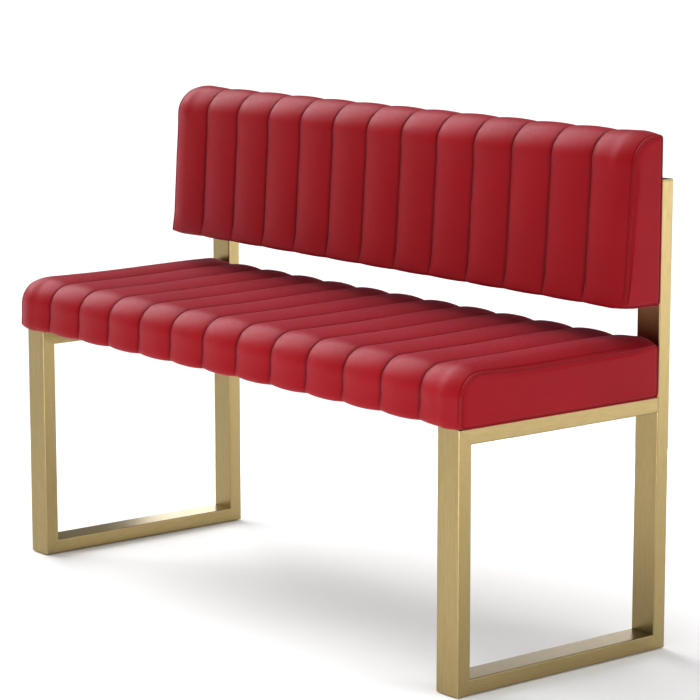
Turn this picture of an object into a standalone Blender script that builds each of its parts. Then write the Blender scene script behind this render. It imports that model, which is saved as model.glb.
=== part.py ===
"""Upholstered bench with a backrest.

Two welded side frames of flat rectangular tube are tied together by two cross rails under the seat.
The seat and the backrest are plywood boards with foam and a sewn leather cover, bolted to the frame.

Frame: +X runs along the bench, the front is towards -Y and +Z is up. The origin is the bottom centre
of the whole bench's box. All sizes are in metres.
"""

import math

import bmesh
import bpy
from mathutils import Matrix, Vector

# Gap that two faces that touch on the bench keep between their solids.
CONTACT_GAP = 0.0003

# Side frames.
FRAME_LENGTH = 1.180
FRAME_DEPTH = 0.440
SEAT_RAIL_TOP = 0.411
TUBE_WIDTH = 0.050
TUBE_THICKNESS = 0.025
TUBE_WALL = 0.0015
TUBE_CORNER_RADIUS = 0.002
TUBE_INNER_RADIUS = 0.0005

# Cross rails, of the same tube laid flat. Their middles are measured from the leg's front face and from
# the upright's front face.
FRONT_CROSS_RAIL_SETBACK = 0.115
REAR_CROSS_RAIL_SETBACK = 0.090

# End caps of the uprights.
CAP_PLATE = 0.002
CAP_PLUG_DEPTH = 0.012
CAP_PLUG_CLEARANCE = 0.0004

# Glides under the foot rails.
GLIDE_THICKNESS = 0.0015
GLIDE_RADIUS = 0.010
GLIDE_STEM_RADIUS = 0.004
GLIDE_STEM_LENGTH = 0.008
GLIDE_END_DISTANCE = 0.045
STEM_CLEARANCE = 0.0003

# Seat cushion, and the overhang of both cushions past each end of the frame.
SIDE_OVERHANG = 0.010
SEAT_FRONT_OVERHANG = 0.010
SEAT_REAR_CLEARANCE = 0.008
SEAT_THICKNESS = 0.089
SEAT_FRONT_RADIUS = 0.035
SEAT_REAR_RADIUS = 0.012
SEAT_BOTTOM_RADIUS = 0.006
SEAT_BOARD = 0.015
DUST_COVER = 0.0008

# Back cushion, and how far the uprights reach up behind it.
BACK_GAP = 0.0566
UPRIGHT_LAP = 0.196
BACK_HEIGHT = 0.270
BACK_BASE_DEPTH = 0.081
BACK_RAKE = math.radians(3.2)
BACK_TOP_RADIUS = 0.045
BACK_REAR_RADIUS = 0.006
BACK_BOTTOM_RADIUS = 0.005
BACK_BOARD = 0.012
REAR_PANEL = 0.0025
REAR_PANEL_INSET = 0.008

# Leather covers, sewn and pulled round the boards.
LEATHER = 0.0015
BOARD_EDGE_FOAM = 0.008
HEM_WIDTH = 0.030
HEM_LAP = 0.018
END_SEAM_RADIUS = 0.003

# Spacers between the uprights and the back cushion.
SPACER_THICKNESS = 0.006
SPACER_WIDTH = 0.040
SPACER_HEIGHT = 0.030
SPACER_CORNER_RADIUS = 0.004

# M6 bolts, washers and T-nuts.
BOLT_RADIUS = 0.003
BOLT_HEAD_RADIUS = 0.00525
BOLT_HEAD_HEIGHT = 0.0033
BOLT_SOCKET_FLATS = 0.004
BOLT_SOCKET_DEPTH = 0.002
BOLT_HOLE_CLEARANCE = 0.0003
BOLT_LENGTH_STEP = 0.005
WASHER_RADIUS = 0.006
WASHER_THICKNESS = 0.0016
T_NUT_FLANGE_RADIUS = 0.0095
T_NUT_FLANGE = 0.0015
T_NUT_BARREL_WALL = 0.0007
T_NUT_BARREL_LENGTH = 0.009
SEAT_BOLT_END_DISTANCE = 0.190
LOWER_BOLT_ABOVE_BACK_BASE = 0.045
UPPER_BOLT_BELOW_UPRIGHT_TOP = 0.041

# Fineness of round shapes.
CORNER_STEPS = 3
LARGE_ARC_STEPS = 9
SMALL_ARC_STEPS = 4
TURNED_STEPS = 16
LARGE_ARC_FROM = 0.015

# Places that follow from the sizes above.
WASHER_STACK = 2 * CONTACT_GAP + WASHER_THICKNESS
REAR_PROTRUSION = WASHER_STACK + BOLT_HEAD_HEIGHT
OVERALL_DEPTH = SEAT_FRONT_OVERHANG + FRAME_DEPTH + REAR_PROTRUSION
LEG_FRONT = SEAT_FRONT_OVERHANG - OVERALL_DEPTH / 2
UPRIGHT_REAR = LEG_FRONT + FRAME_DEPTH
UPRIGHT_FRONT = UPRIGHT_REAR - TUBE_THICKNESS
FRAME_BASE = GLIDE_THICKNESS + CONTACT_GAP
RAIL_TOP = FRAME_BASE + SEAT_RAIL_TOP
TUBE_X = FRAME_LENGTH / 2 - TUBE_WIDTH / 2
SEAT_BOLT_X = FRAME_LENGTH / 2 - TUBE_WIDTH - SEAT_BOLT_END_DISTANCE
CUSHION_LENGTH = FRAME_LENGTH + 2 * SIDE_OVERHANG
BOLT_HOLE_RADIUS = BOLT_RADIUS + BOLT_HOLE_CLEARANCE
T_NUT_BARREL_RADIUS = BOLT_HOLE_RADIUS + T_NUT_BARREL_WALL
MITRE_SETBACK = CONTACT_GAP / math.sqrt(2)

SEAT_FRONT = LEG_FRONT - SEAT_FRONT_OVERHANG
SEAT_REAR = UPRIGHT_FRONT - SEAT_REAR_CLEARANCE
SEAT_BASE = RAIL_TOP + DUST_COVER + 2 * CONTACT_GAP
SEAT_TOP = SEAT_BASE + SEAT_THICKNESS
COVER_INSET = LEATHER + CONTACT_GAP
SEAT_BOARD_TOP = SEAT_BASE + COVER_INSET + SEAT_BOARD

REAR_PANEL_BACK = UPRIGHT_FRONT - SPACER_THICKNESS - 2 * CONTACT_GAP
BACK_REAR = REAR_PANEL_BACK - REAR_PANEL - CONTACT_GAP
BACK_BASE = SEAT_TOP + BACK_GAP
UPRIGHT_TOP = BACK_BASE + UPRIGHT_LAP
BACK_BOARD_FRONT = BACK_REAR - COVER_INSET - BACK_BOARD

RED_LEATHER = ("red_leather", (0.36, 0.012, 0.018), 0.0, 0.45)
BRUSHED_BRASS = ("brushed_brass", (0.56, 0.42, 0.20), 1.0, 0.32)
FOAM = ("foam", (0.78, 0.72, 0.52), 0.0, 0.95)
PLYWOOD = ("plywood", (0.52, 0.36, 0.20), 0.0, 0.7)
BLACK_FABRIC = ("black_fabric", (0.012, 0.012, 0.013), 0.0, 0.95)
BLACK_PLASTIC = ("black_plastic", (0.02, 0.02, 0.02), 0.0, 0.5)
ZINC_STEEL = ("zinc_steel", (0.55, 0.56, 0.58), 1.0, 0.35)


def clear_scene():
    """Removes everything that is already in the scene."""
    for item in list(bpy.data.objects):
        bpy.data.objects.remove(item, do_unlink=True)


def new_collection(name):
    """Makes a collection of this name under the scene."""
    collection = bpy.data.collections.new(name)
    bpy.context.scene.collection.children.link(collection)
    return collection


def material(finish):
    """The material of a finish, made on its first use. A finish is (name, colour, metallic, roughness)."""
    name, colour, metallic, roughness = finish
    found = bpy.data.materials.get(name)
    if found:
        return found
    made = bpy.data.materials.new(name)
    made.use_nodes = True
    shader = made.node_tree.nodes["Principled BSDF"]
    shader.inputs["Base Color"].default_value = (*colour, 1.0)
    shader.inputs["Metallic"].default_value = metallic
    shader.inputs["Roughness"].default_value = roughness
    made.diffuse_color = (*colour, 1.0)
    return made


def add_piece(name, mesh, finish, place=None):
    """Puts a mesh in the bench as a named piece with its finish."""
    piece = bpy.data.objects.new(name, mesh)
    if not mesh.materials:
        mesh.materials.append(material(finish))
    piece.matrix_world = place or Matrix()
    bench.objects.link(piece)
    return piece


def evaluated_mesh(item):
    """The mesh of an object with its modifiers, or of a curve, as plain mesh data; the object goes."""
    graph = bpy.context.evaluated_depsgraph_get()
    mesh = bpy.data.meshes.new_from_object(item.evaluated_get(graph))
    bpy.data.objects.remove(item, do_unlink=True)
    return mesh


def weld(mesh):
    """Joins points that lie on each other, such as where a curve's caps meet its sides."""
    work = bmesh.new()
    work.from_mesh(mesh)
    bmesh.ops.remove_doubles(work, verts=work.verts, dist=1e-6)
    bmesh.ops.recalc_face_normals(work, faces=work.faces)
    work.to_mesh(mesh)
    work.free()
    return mesh


def axes(x_axis, y_axis, z_axis, origin):
    """The matrix that puts local x, y and z along the given world directions, at the origin."""
    turn = Matrix((x_axis, y_axis, z_axis)).transposed()
    return Matrix.Translation(origin) @ turn.to_4x4()


def filleted(corners):
    """Points of a closed outline, from (x, y, fillet radius) corners in order."""
    points = []
    count = len(corners)
    for index, (x, y, radius) in enumerate(corners):
        corner = Vector((x, y))
        back = (Vector(corners[index - 1][:2]) - corner).normalized()
        ahead = (Vector(corners[(index + 1) % count][:2]) - corner).normalized()
        if radius <= 0:
            points.append(corner)
            continue
        half_angle = math.acos(max(-1.0, min(1.0, back.dot(ahead)))) / 2
        centre = corner + (back + ahead).normalized() * radius / math.sin(half_angle)
        start = corner + back * radius / math.tan(half_angle) - centre
        end = corner + ahead * radius / math.tan(half_angle) - centre
        sweep = math.atan2(start.x * end.y - start.y * end.x, start.dot(end))
        steps = LARGE_ARC_STEPS if radius > LARGE_ARC_FROM else SMALL_ARC_STEPS
        if radius <= TUBE_CORNER_RADIUS:
            steps = CORNER_STEPS
        for step in range(steps + 1):
            points.append(centre + Matrix.Rotation(sweep * step / steps, 2) @ start)
    return points


def inset(corners, distance):
    """The corners of an outline moved inwards, for an outline given anticlockwise."""
    moved = []
    for index, (x, y, radius) in enumerate(corners):
        corner = Vector((x, y))
        into = (corner - Vector(corners[index - 1][:2])).normalized()
        out = (Vector(corners[(index + 1) % len(corners)][:2]) - corner).normalized()
        normal_in = Vector((-into.y, into.x))
        normal_out = Vector((-out.y, out.x))
        place = corner + (normal_in + normal_out) * distance / (1 + normal_in.dot(normal_out))
        moved.append((place.x, place.y, max(radius - distance, 0.0)))
    return moved


def rectangle(width, height, radius, centre=(0.0, 0.0)):
    """Corners of a rectangle, anticlockwise, with one fillet radius."""
    x, y = centre
    signs = ((-1, -1), (1, -1), (1, 1), (-1, 1))
    return [(x + sx * width / 2, y + sy * height / 2, radius) for sx, sy in signs]


def prism(outlines, length):
    """A mesh extruded along local z from one outline, or from an outline with holes in it."""
    curve = bpy.data.curves.new("outline", "CURVE")
    curve.dimensions = "2D"
    curve.fill_mode = "BOTH"
    curve.extrude = length / 2
    for outline in outlines:
        spline = curve.splines.new("POLY")
        spline.points.add(len(outline) - 1)
        for point, at in zip(spline.points, outline):
            point.co = (at[0], at[1], 0.0, 1.0)
        spline.use_cyclic_u = True
    item = bpy.data.objects.new("outline", curve)
    bench.objects.link(item)
    return weld(evaluated_mesh(item))


def along_x(outline, length):
    """An outline in (y, z) extruded along world X and centred on it, as a mesh in world places."""
    mesh = prism([outline], length)
    mesh.transform(axes((0, 1, 0), (0, 0, 1), (1, 0, 0), (0, 0, 0)))
    return mesh


def turned(profile, closed=False):
    """A mesh turned about local z from (radius, height) points that run down the outer side."""
    mesh = bpy.data.meshes.new("profile")
    points = [(radius, 0.0, height) for radius, height in profile]
    edges = [(index, index + 1) for index in range(len(points) - 1)]
    if closed:
        edges.append((len(points) - 1, 0))
    mesh.from_pydata(points, edges, [])
    item = bpy.data.objects.new("turned", mesh)
    bench.objects.link(item)
    screw = item.modifiers.new("turn", "SCREW")
    screw.steps = screw.render_steps = TURNED_STEPS
    screw.use_merge_vertices = True
    screw.merge_threshold = 1e-5
    made = evaluated_mesh(item)
    made.shade_smooth()
    made.set_sharp_from_angle(angle=math.radians(40))
    return made


def cutter(mesh, place=None):
    """A hidden object that other pieces are cut with."""
    item = bpy.data.objects.new("cutter", mesh)
    item.matrix_world = place or Matrix()
    item.hide_render = True
    item.display_type = "WIRE"
    cutters.objects.link(item)
    return item


def rod(radius, length, direction, centre, segments=TURNED_STEPS):
    """A hidden cylinder, or a prism with few segments, centred on a place and lying along a direction."""
    mesh = bpy.data.meshes.new("rod")
    work = bmesh.new()
    bmesh.ops.create_cone(
        work, cap_ends=True, segments=segments, radius1=radius, radius2=radius, depth=length
    )
    work.to_mesh(mesh)
    work.free()
    turn = Vector((0, 0, 1)).rotation_difference(Vector(direction)).to_matrix().to_4x4()
    return cutter(mesh, Matrix.Translation(centre) @ turn)


def cut(piece, tool):
    """Takes the tool's shape out of the piece."""
    boolean = piece.modifiers.new("cut", "BOOLEAN")
    boolean.operation = "DIFFERENCE"
    boolean.solver = "EXACT"
    boolean.object = tool


def soften_edges(piece, width, angle):
    """Rounds the edges of a piece that are sharper than the angle."""
    bevel = piece.modifiers.new("soften", "BEVEL")
    bevel.width = width
    bevel.segments = 2
    bevel.limit_method = "ANGLE"
    bevel.angle_limit = angle


def tube(name, length, low_mitre, high_mitre, place):
    """A rectangular tube along local z, with its outer side at local +y. A mitre of 1 cuts that end at
    45 degrees and leaves the outer side at full length, and 0 leaves it square."""
    outside = filleted(rectangle(TUBE_WIDTH, TUBE_THICKNESS, TUBE_CORNER_RADIUS))
    bore = rectangle(TUBE_WIDTH - 2 * TUBE_WALL, TUBE_THICKNESS - 2 * TUBE_WALL, TUBE_INNER_RADIUS)
    mesh = prism([outside, filleted(bore)], length)
    for vertex in mesh.vertices:
        from_outer_side = TUBE_THICKNESS / 2 - vertex.co.y
        if vertex.co.z < 0:
            vertex.co.z += low_mitre * from_outer_side
        else:
            vertex.co.z -= high_mitre * from_outer_side
    return add_piece(name, mesh, BRUSHED_BRASS, place)


def side_frame(side, x):
    """The four tubes, the cap and the glides of one side, with the tubes' middle at this X."""
    upright_length = UPRIGHT_TOP - FRAME_BASE - CAP_PLATE - CONTACT_GAP - MITRE_SETBACK
    leg_y = LEG_FRONT + TUBE_THICKNESS / 2
    upright_y = UPRIGHT_REAR - TUBE_THICKNESS / 2
    tube(
        f"{side}_front_leg",
        SEAT_RAIL_TOP - 2 * MITRE_SETBACK,
        1,
        1,
        axes((-1, 0, 0), (0, -1, 0), (0, 0, 1), (x, leg_y, FRAME_BASE + SEAT_RAIL_TOP / 2)),
    )
    foot_rail = tube(
        f"{side}_foot_rail",
        FRAME_DEPTH - 2 * MITRE_SETBACK,
        1,
        1,
        axes(
            (1, 0, 0),
            (0, 0, -1),
            (0, 1, 0),
            (x, LEG_FRONT + FRAME_DEPTH / 2, FRAME_BASE + TUBE_THICKNESS / 2),
        ),
    )
    upright = tube(
        f"{side}_rear_upright",
        upright_length,
        1,
        0,
        axes(
            (1, 0, 0),
            (0, 1, 0),
            (0, 0, 1),
            (x, upright_y, FRAME_BASE + MITRE_SETBACK + upright_length / 2),
        ),
    )
    rail_start = LEG_FRONT + MITRE_SETBACK
    rail_end = UPRIGHT_FRONT - CONTACT_GAP
    tube(
        f"{side}_seat_rail",
        rail_end - rail_start,
        1,
        0,
        axes(
            (-1, 0, 0),
            (0, 0, 1),
            (0, 1, 0),
            (x, (rail_start + rail_end) / 2, RAIL_TOP - TUBE_THICKNESS / 2),
        ),
    )
    for height in back_bolt_heights():
        hole = rod(BOLT_HOLE_RADIUS, 2 * TUBE_THICKNESS, (0, 1, 0), (x, upright_y, height))
        cut(upright, hole)
    upright_cap(f"{side}_upright_cap", x, upright_y)
    for end, y in (
        ("front", LEG_FRONT + GLIDE_END_DISTANCE),
        ("rear", UPRIGHT_REAR - GLIDE_END_DISTANCE),
    ):
        add_piece(
            f"{side}_{end}_glide",
            bpy.data.meshes.get("glide") or glide_mesh(),
            BLACK_PLASTIC,
            Matrix.Translation((x, y, 0)),
        )
        stem_hole = rod(
            GLIDE_STEM_RADIUS + STEM_CLEARANCE, TUBE_THICKNESS, (0, 0, 1), (x, y, FRAME_BASE)
        )
        cut(foot_rail, stem_hole)


def upright_cap(name, x, y):
    """The plate that closes the top of an upright, with a plug that sits inside the tube."""
    plate = prism([filleted(rectangle(TUBE_WIDTH, TUBE_THICKNESS, TUBE_CORNER_RADIUS))], CAP_PLATE)
    plate_middle = UPRIGHT_TOP - CAP_PLATE / 2
    cap = add_piece(name, plate, BRUSHED_BRASS, Matrix.Translation((x, y, plate_middle)))
    narrowing = 2 * (TUBE_WALL + CAP_PLUG_CLEARANCE)
    plug_height = CAP_PLUG_DEPTH + CAP_PLATE / 2
    plug = cutter(
        prism(
            [filleted(rectangle(TUBE_WIDTH - narrowing, TUBE_THICKNESS - narrowing, 0.0))],
            plug_height,
        ),
        Matrix.Translation((x, y, plate_middle - plug_height / 2)),
    )
    join = cap.modifiers.new("plug", "BOOLEAN")
    join.operation = "UNION"
    join.solver = "EXACT"
    join.object = plug


def glide_mesh():
    """A floor glide: a flat disc with a stem that goes up into the foot rail."""
    mesh = turned(
        [
            (0.0, GLIDE_THICKNESS + GLIDE_STEM_LENGTH),
            (GLIDE_STEM_RADIUS, GLIDE_THICKNESS + GLIDE_STEM_LENGTH),
            (GLIDE_STEM_RADIUS, GLIDE_THICKNESS),
            (GLIDE_RADIUS, GLIDE_THICKNESS),
            (GLIDE_RADIUS, 0.0),
            (0.0, 0.0),
        ]
    )
    mesh.name = "glide"
    return mesh


def cross_rails():
    """The two tubes that tie the side frames together under the seat, with the seat bolts' holes."""
    length = FRAME_LENGTH - 2 * TUBE_WIDTH - 2 * CONTACT_GAP
    for end, y in cross_rail_places():
        centre = (0, y, RAIL_TOP - TUBE_THICKNESS / 2)
        rail = tube(
            f"{end}_cross_rail",
            length,
            0,
            0,
            axes((0, 1, 0), (0, 0, 1), (1, 0, 0), centre),
        )
        for x in (-SEAT_BOLT_X, SEAT_BOLT_X):
            cut(rail, rod(BOLT_HOLE_RADIUS, 2 * TUBE_THICKNESS, (0, 0, 1), (x, *centre[1:])))


def cross_rail_places():
    """Name and Y of each cross rail."""
    return (
        ("front", LEG_FRONT + FRONT_CROSS_RAIL_SETBACK),
        ("rear", UPRIGHT_FRONT - REAR_CROSS_RAIL_SETBACK),
    )


def back_bolt_heights():
    """World heights of the lower and the upper row of back bolts."""
    return (BACK_BASE + LOWER_BOLT_ABOVE_BACK_BASE, UPRIGHT_TOP - UPPER_BOLT_BELOW_UPRIGHT_TOP)


def cover(name, corners, length, opening):
    """A leather cover: a shell with a wall of one thickness, open where the opening box cuts its hem."""
    piece = add_piece(name, along_x(filleted(corners), length), RED_LEATHER)
    soften_edges(piece, END_SEAM_RADIUS, math.radians(60))
    hollow = along_x(filleted(inset(corners, LEATHER)), length - 2 * LEATHER)
    cut(piece, cutter(hollow))
    cut(piece, opening)
    return piece


def box_cutter(size, centre):
    """A hidden box that cuts other pieces."""
    mesh = bpy.data.meshes.new("box")
    work = bmesh.new()
    bmesh.ops.create_cube(work, size=1.0, matrix=Matrix.Diagonal((*size, 1.0)))
    work.to_mesh(mesh)
    work.free()
    return cutter(mesh, Matrix.Translation(centre))


def board(name, corners, length, places, direction):
    """A plywood board in a cushion. At each place on its face a bolt hole runs along the direction, with
    room for the T-nut's barrel, and the T-nut's flange is let into the face."""
    piece = add_piece(name, along_x(filleted(corners), length), PLYWOOD)
    through = 4 * max(SEAT_BOARD, BACK_BOARD)
    recess = T_NUT_FLANGE + CONTACT_GAP
    for place in places:
        cut(piece, rod(T_NUT_BARREL_RADIUS + BOLT_HOLE_CLEARANCE, through, direction, place))
        cut(piece, rod(T_NUT_FLANGE_RADIUS + CONTACT_GAP, 2 * recess, direction, place))


def foam(name, corners, length, pocket):
    """A cushion's foam, which fills its cover and is cut out where the pocket takes the board."""
    piece = add_piece(name, along_x(filleted(corners), length), FOAM)
    cut(piece, pocket)


def seat_corners():
    """Side outline of the seat cover, anticlockwise from the lower front, as (y, z, radius)."""
    return [
        (SEAT_FRONT, SEAT_BASE, SEAT_BOTTOM_RADIUS),
        (SEAT_REAR, SEAT_BASE, SEAT_BOTTOM_RADIUS),
        (SEAT_REAR, SEAT_TOP, SEAT_REAR_RADIUS),
        (SEAT_FRONT, SEAT_TOP, SEAT_FRONT_RADIUS),
    ]


def back_corners():
    """Side outline of the back cover, anticlockwise from the lower front, as (y, z, radius)."""
    top = BACK_BASE + BACK_HEIGHT
    front = BACK_REAR - BACK_BASE_DEPTH
    return [
        (front, BACK_BASE, BACK_BOTTOM_RADIUS),
        (BACK_REAR, BACK_BASE, BACK_BOTTOM_RADIUS),
        (BACK_REAR, top, BACK_REAR_RADIUS),
        (front + BACK_HEIGHT * math.tan(BACK_RAKE), top, BACK_TOP_RADIUS),
    ]


def seat():
    """The seat's cover, foam, board, dust cover and fasteners."""
    corners = seat_corners()
    opening = box_cutter(
        (
            CUSHION_LENGTH - 2 * HEM_WIDTH,
            SEAT_REAR - SEAT_FRONT - 2 * HEM_WIDTH,
            4 * LEATHER,
        ),
        (0, (SEAT_FRONT + SEAT_REAR) / 2, SEAT_BASE),
    )
    cover("seat_cover", corners, CUSHION_LENGTH, opening)

    board_base = SEAT_BASE + COVER_INSET
    board_front = SEAT_FRONT + COVER_INSET + BOARD_EDGE_FOAM
    board_rear = SEAT_REAR - COVER_INSET - BOARD_EDGE_FOAM
    board_length = CUSHION_LENGTH - 2 * COVER_INSET - 2 * BOARD_EDGE_FOAM
    board_corners = [
        (board_front, board_base, 0.0),
        (board_rear, board_base, 0.0),
        (board_rear, SEAT_BOARD_TOP, 0.0),
        (board_front, SEAT_BOARD_TOP, 0.0),
    ]
    bolt_places = [
        (x, y, SEAT_BOARD_TOP) for _, y in cross_rail_places() for x in (-SEAT_BOLT_X, SEAT_BOLT_X)
    ]
    board("seat_board", board_corners, board_length, bolt_places, (0, 0, 1))
    pocket = box_cutter(
        (
            board_length + 2 * CONTACT_GAP,
            board_rear - board_front + 2 * CONTACT_GAP,
            2 * (SEAT_BOARD + CONTACT_GAP),
        ),
        (0, (board_front + board_rear) / 2, board_base),
    )
    foam("seat_foam", inset(corners, COVER_INSET), CUSHION_LENGTH - 2 * COVER_INSET, pocket)

    sheet = rectangle(
        SEAT_REAR - SEAT_FRONT - 2 * HEM_LAP,
        DUST_COVER,
        0.0,
        ((SEAT_FRONT + SEAT_REAR) / 2, RAIL_TOP + CONTACT_GAP + DUST_COVER / 2),
    )
    dust_cover = add_piece(
        "seat_dust_cover",
        along_x(filleted(sheet), CUSHION_LENGTH - 2 * HEM_LAP),
        BLACK_FABRIC,
    )
    names = ("front_left", "front_right", "rear_left", "rear_right")
    under_rail = RAIL_TOP - TUBE_THICKNESS
    for name, (x, y, top) in zip(names, bolt_places):
        cut(dust_cover, rod(BOLT_HOLE_RADIUS, 0.01, (0, 0, 1), (x, y, RAIL_TOP)))
        upward = axes((1, 0, 0), (0, 1, 0), (0, 0, 1), (x, y, under_rail))
        fasteners(f"seat_{name}", upward, top - under_rail)


def back():
    """The back's cover, foam, board, rear panel, spacers and fasteners."""
    corners = back_corners()
    mid_height = BACK_BASE + BACK_HEIGHT / 2
    opening = box_cutter(
        (CUSHION_LENGTH - 2 * HEM_WIDTH, 4 * LEATHER, BACK_HEIGHT - 2 * HEM_WIDTH),
        (0, BACK_REAR, mid_height),
    )
    cover("back_cover", corners, CUSHION_LENGTH, opening)

    board_rear = BACK_REAR - COVER_INSET
    board_low = BACK_BASE + COVER_INSET + BOARD_EDGE_FOAM
    board_high = BACK_BASE + BACK_HEIGHT - COVER_INSET - BOARD_EDGE_FOAM
    board_length = CUSHION_LENGTH - 2 * COVER_INSET - 2 * BOARD_EDGE_FOAM
    board_corners = [
        (BACK_BOARD_FRONT, board_low, 0.0),
        (board_rear, board_low, 0.0),
        (board_rear, board_high, 0.0),
        (BACK_BOARD_FRONT, board_high, 0.0),
    ]
    bolt_places = [
        (x, BACK_BOARD_FRONT, height)
        for height in back_bolt_heights()
        for x in (-TUBE_X, TUBE_X)
    ]
    board("back_board", board_corners, board_length, bolt_places, (0, -1, 0))
    pocket = box_cutter(
        (
            board_length + 2 * CONTACT_GAP,
            2 * (BACK_BOARD + CONTACT_GAP),
            board_high - board_low + 2 * CONTACT_GAP,
        ),
        (0, board_rear, mid_height),
    )
    foam("back_foam", inset(corners, COVER_INSET), CUSHION_LENGTH - 2 * COVER_INSET, pocket)

    panel_outline = rectangle(
        REAR_PANEL,
        BACK_HEIGHT - 2 * REAR_PANEL_INSET,
        0.0,
        (REAR_PANEL_BACK - REAR_PANEL / 2, mid_height),
    )
    rear_panel = add_piece(
        "back_rear_panel",
        along_x(filleted(panel_outline), CUSHION_LENGTH - 2 * REAR_PANEL_INSET),
        RED_LEATHER,
    )
    names = ("lower_left", "lower_right", "upper_left", "upper_right")
    for name, (x, front, height) in zip(names, bolt_places):
        cut(rear_panel, rod(BOLT_HOLE_RADIUS, 0.02, (0, 1, 0), (x, REAR_PANEL_BACK, height)))
        forward = axes((1, 0, 0), (0, 0, 1), (0, -1, 0), (x, UPRIGHT_REAR, height))
        spacer(f"back_{name}_spacer", (x, height))
        fasteners(f"back_{name}", forward, UPRIGHT_REAR - front)


def spacer(name, centre):
    """A flat block with a bolt hole, between an upright and the back cushion's rear panel."""
    x, height = centre
    outline = filleted(rectangle(SPACER_WIDTH, SPACER_HEIGHT, SPACER_CORNER_RADIUS))
    middle = (x, UPRIGHT_FRONT - CONTACT_GAP - SPACER_THICKNESS / 2, height)
    piece = add_piece(
        name,
        prism([outline], SPACER_THICKNESS),
        BLACK_PLASTIC,
        axes((1, 0, 0), (0, 0, 1), (0, -1, 0), middle),
    )
    cut(piece, rod(BOLT_HOLE_RADIUS, 2 * SPACER_THICKNESS, (0, 1, 0), middle))


def fasteners(name, place, board_face):
    """A bolt, its washer and its T-nut. Local z of the place runs along the bolt from the frame's outer
    face, and the T-nut's flange is let into the board's far face, at this distance. The bolt is the
    longest stock length that ends inside the board."""
    steps = math.floor((WASHER_STACK + board_face) / BOLT_LENGTH_STEP)
    bolt_length = steps * BOLT_LENGTH_STEP
    washer = bpy.data.meshes.get("washer") or washer_mesh()
    add_piece(f"{name}_washer", washer, ZINC_STEEL, place @ Matrix.Translation((0, 0, -CONTACT_GAP)))
    bolt = bpy.data.meshes.get(f"bolt_{bolt_length:.3f}") or bolt_mesh(bolt_length)
    add_piece(f"{name}_bolt", bolt, ZINC_STEEL, place @ Matrix.Translation((0, 0, -WASHER_STACK)))
    nut = bpy.data.meshes.get("t_nut") or t_nut_mesh()
    add_piece(f"{name}_t_nut", nut, ZINC_STEEL, place @ Matrix.Translation((0, 0, board_face)))


def washer_mesh():
    """A flat washer whose upper face is at local z = 0."""
    bore = BOLT_HOLE_RADIUS
    mesh = turned(
        [
            (bore, 0.0),
            (WASHER_RADIUS, 0.0),
            (WASHER_RADIUS, -WASHER_THICKNESS),
            (bore, -WASHER_THICKNESS),
        ],
        closed=True,
    )
    mesh.name = "washer"
    return mesh


def bolt_mesh(length):
    """A button-head bolt along local z, with the underside of its head at z = 0."""
    shank_tip = 0.0005
    mesh = turned(
        [
            (0.0, length),
            (BOLT_RADIUS - shank_tip, length),
            (BOLT_RADIUS, length - shank_tip),
            (BOLT_RADIUS, 0.0),
            (BOLT_HEAD_RADIUS, 0.0),
            (BOLT_HEAD_RADIUS, -0.3 * BOLT_HEAD_HEIGHT),
            (0.8 * BOLT_HEAD_RADIUS, -0.8 * BOLT_HEAD_HEIGHT),
            (0.5 * BOLT_HEAD_RADIUS, -BOLT_HEAD_HEIGHT),
            (0.0, -BOLT_HEAD_HEIGHT),
        ]
    )
    bolt = bpy.data.objects.new("bolt", mesh)
    bench.objects.link(bolt)
    socket_radius = BOLT_SOCKET_FLATS / 2 / math.cos(math.pi / 6)
    socket = rod(
        socket_radius, 2 * BOLT_SOCKET_DEPTH, (0, 0, 1), (0, 0, -BOLT_HEAD_HEIGHT), segments=6
    )
    cut(bolt, socket)
    made = evaluated_mesh(bolt)
    bpy.data.objects.remove(socket, do_unlink=True)
    made.name = f"bolt_{length:.3f}"
    return made


def t_nut_mesh():
    """A T-nut: a flange whose outer face is at local z = 0 and a barrel that runs towards -z."""
    bore = BOLT_HOLE_RADIUS
    mesh = turned(
        [
            (bore, 0.0),
            (T_NUT_FLANGE_RADIUS, 0.0),
            (T_NUT_FLANGE_RADIUS, -T_NUT_FLANGE),
            (T_NUT_BARREL_RADIUS, -T_NUT_FLANGE),
            (T_NUT_BARREL_RADIUS, -T_NUT_BARREL_LENGTH),
            (bore, -T_NUT_BARREL_LENGTH),
        ],
        closed=True,
    )
    mesh.name = "t_nut"
    return mesh


clear_scene()
bench = new_collection("upholstered_bench")
cutters = new_collection("cutters")
side_frame("left", -TUBE_X)
side_frame("right", TUBE_X)
cross_rails()
seat()
back()
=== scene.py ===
"""Looks of the upholstered bench: channelled leather cushions on a brushed brass tube frame.

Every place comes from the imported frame. Lengths are in metres, +Z is up and -Y is the bench's front.
"""
import logging
import math
from collections.abc import Iterable, Sequence
from dataclasses import dataclass, field
from enum import Enum

import bmesh
import bpy
import numpy as np
from mathutils import Matrix, Vector
from mathutils.bvhtree import BVHTree


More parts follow.
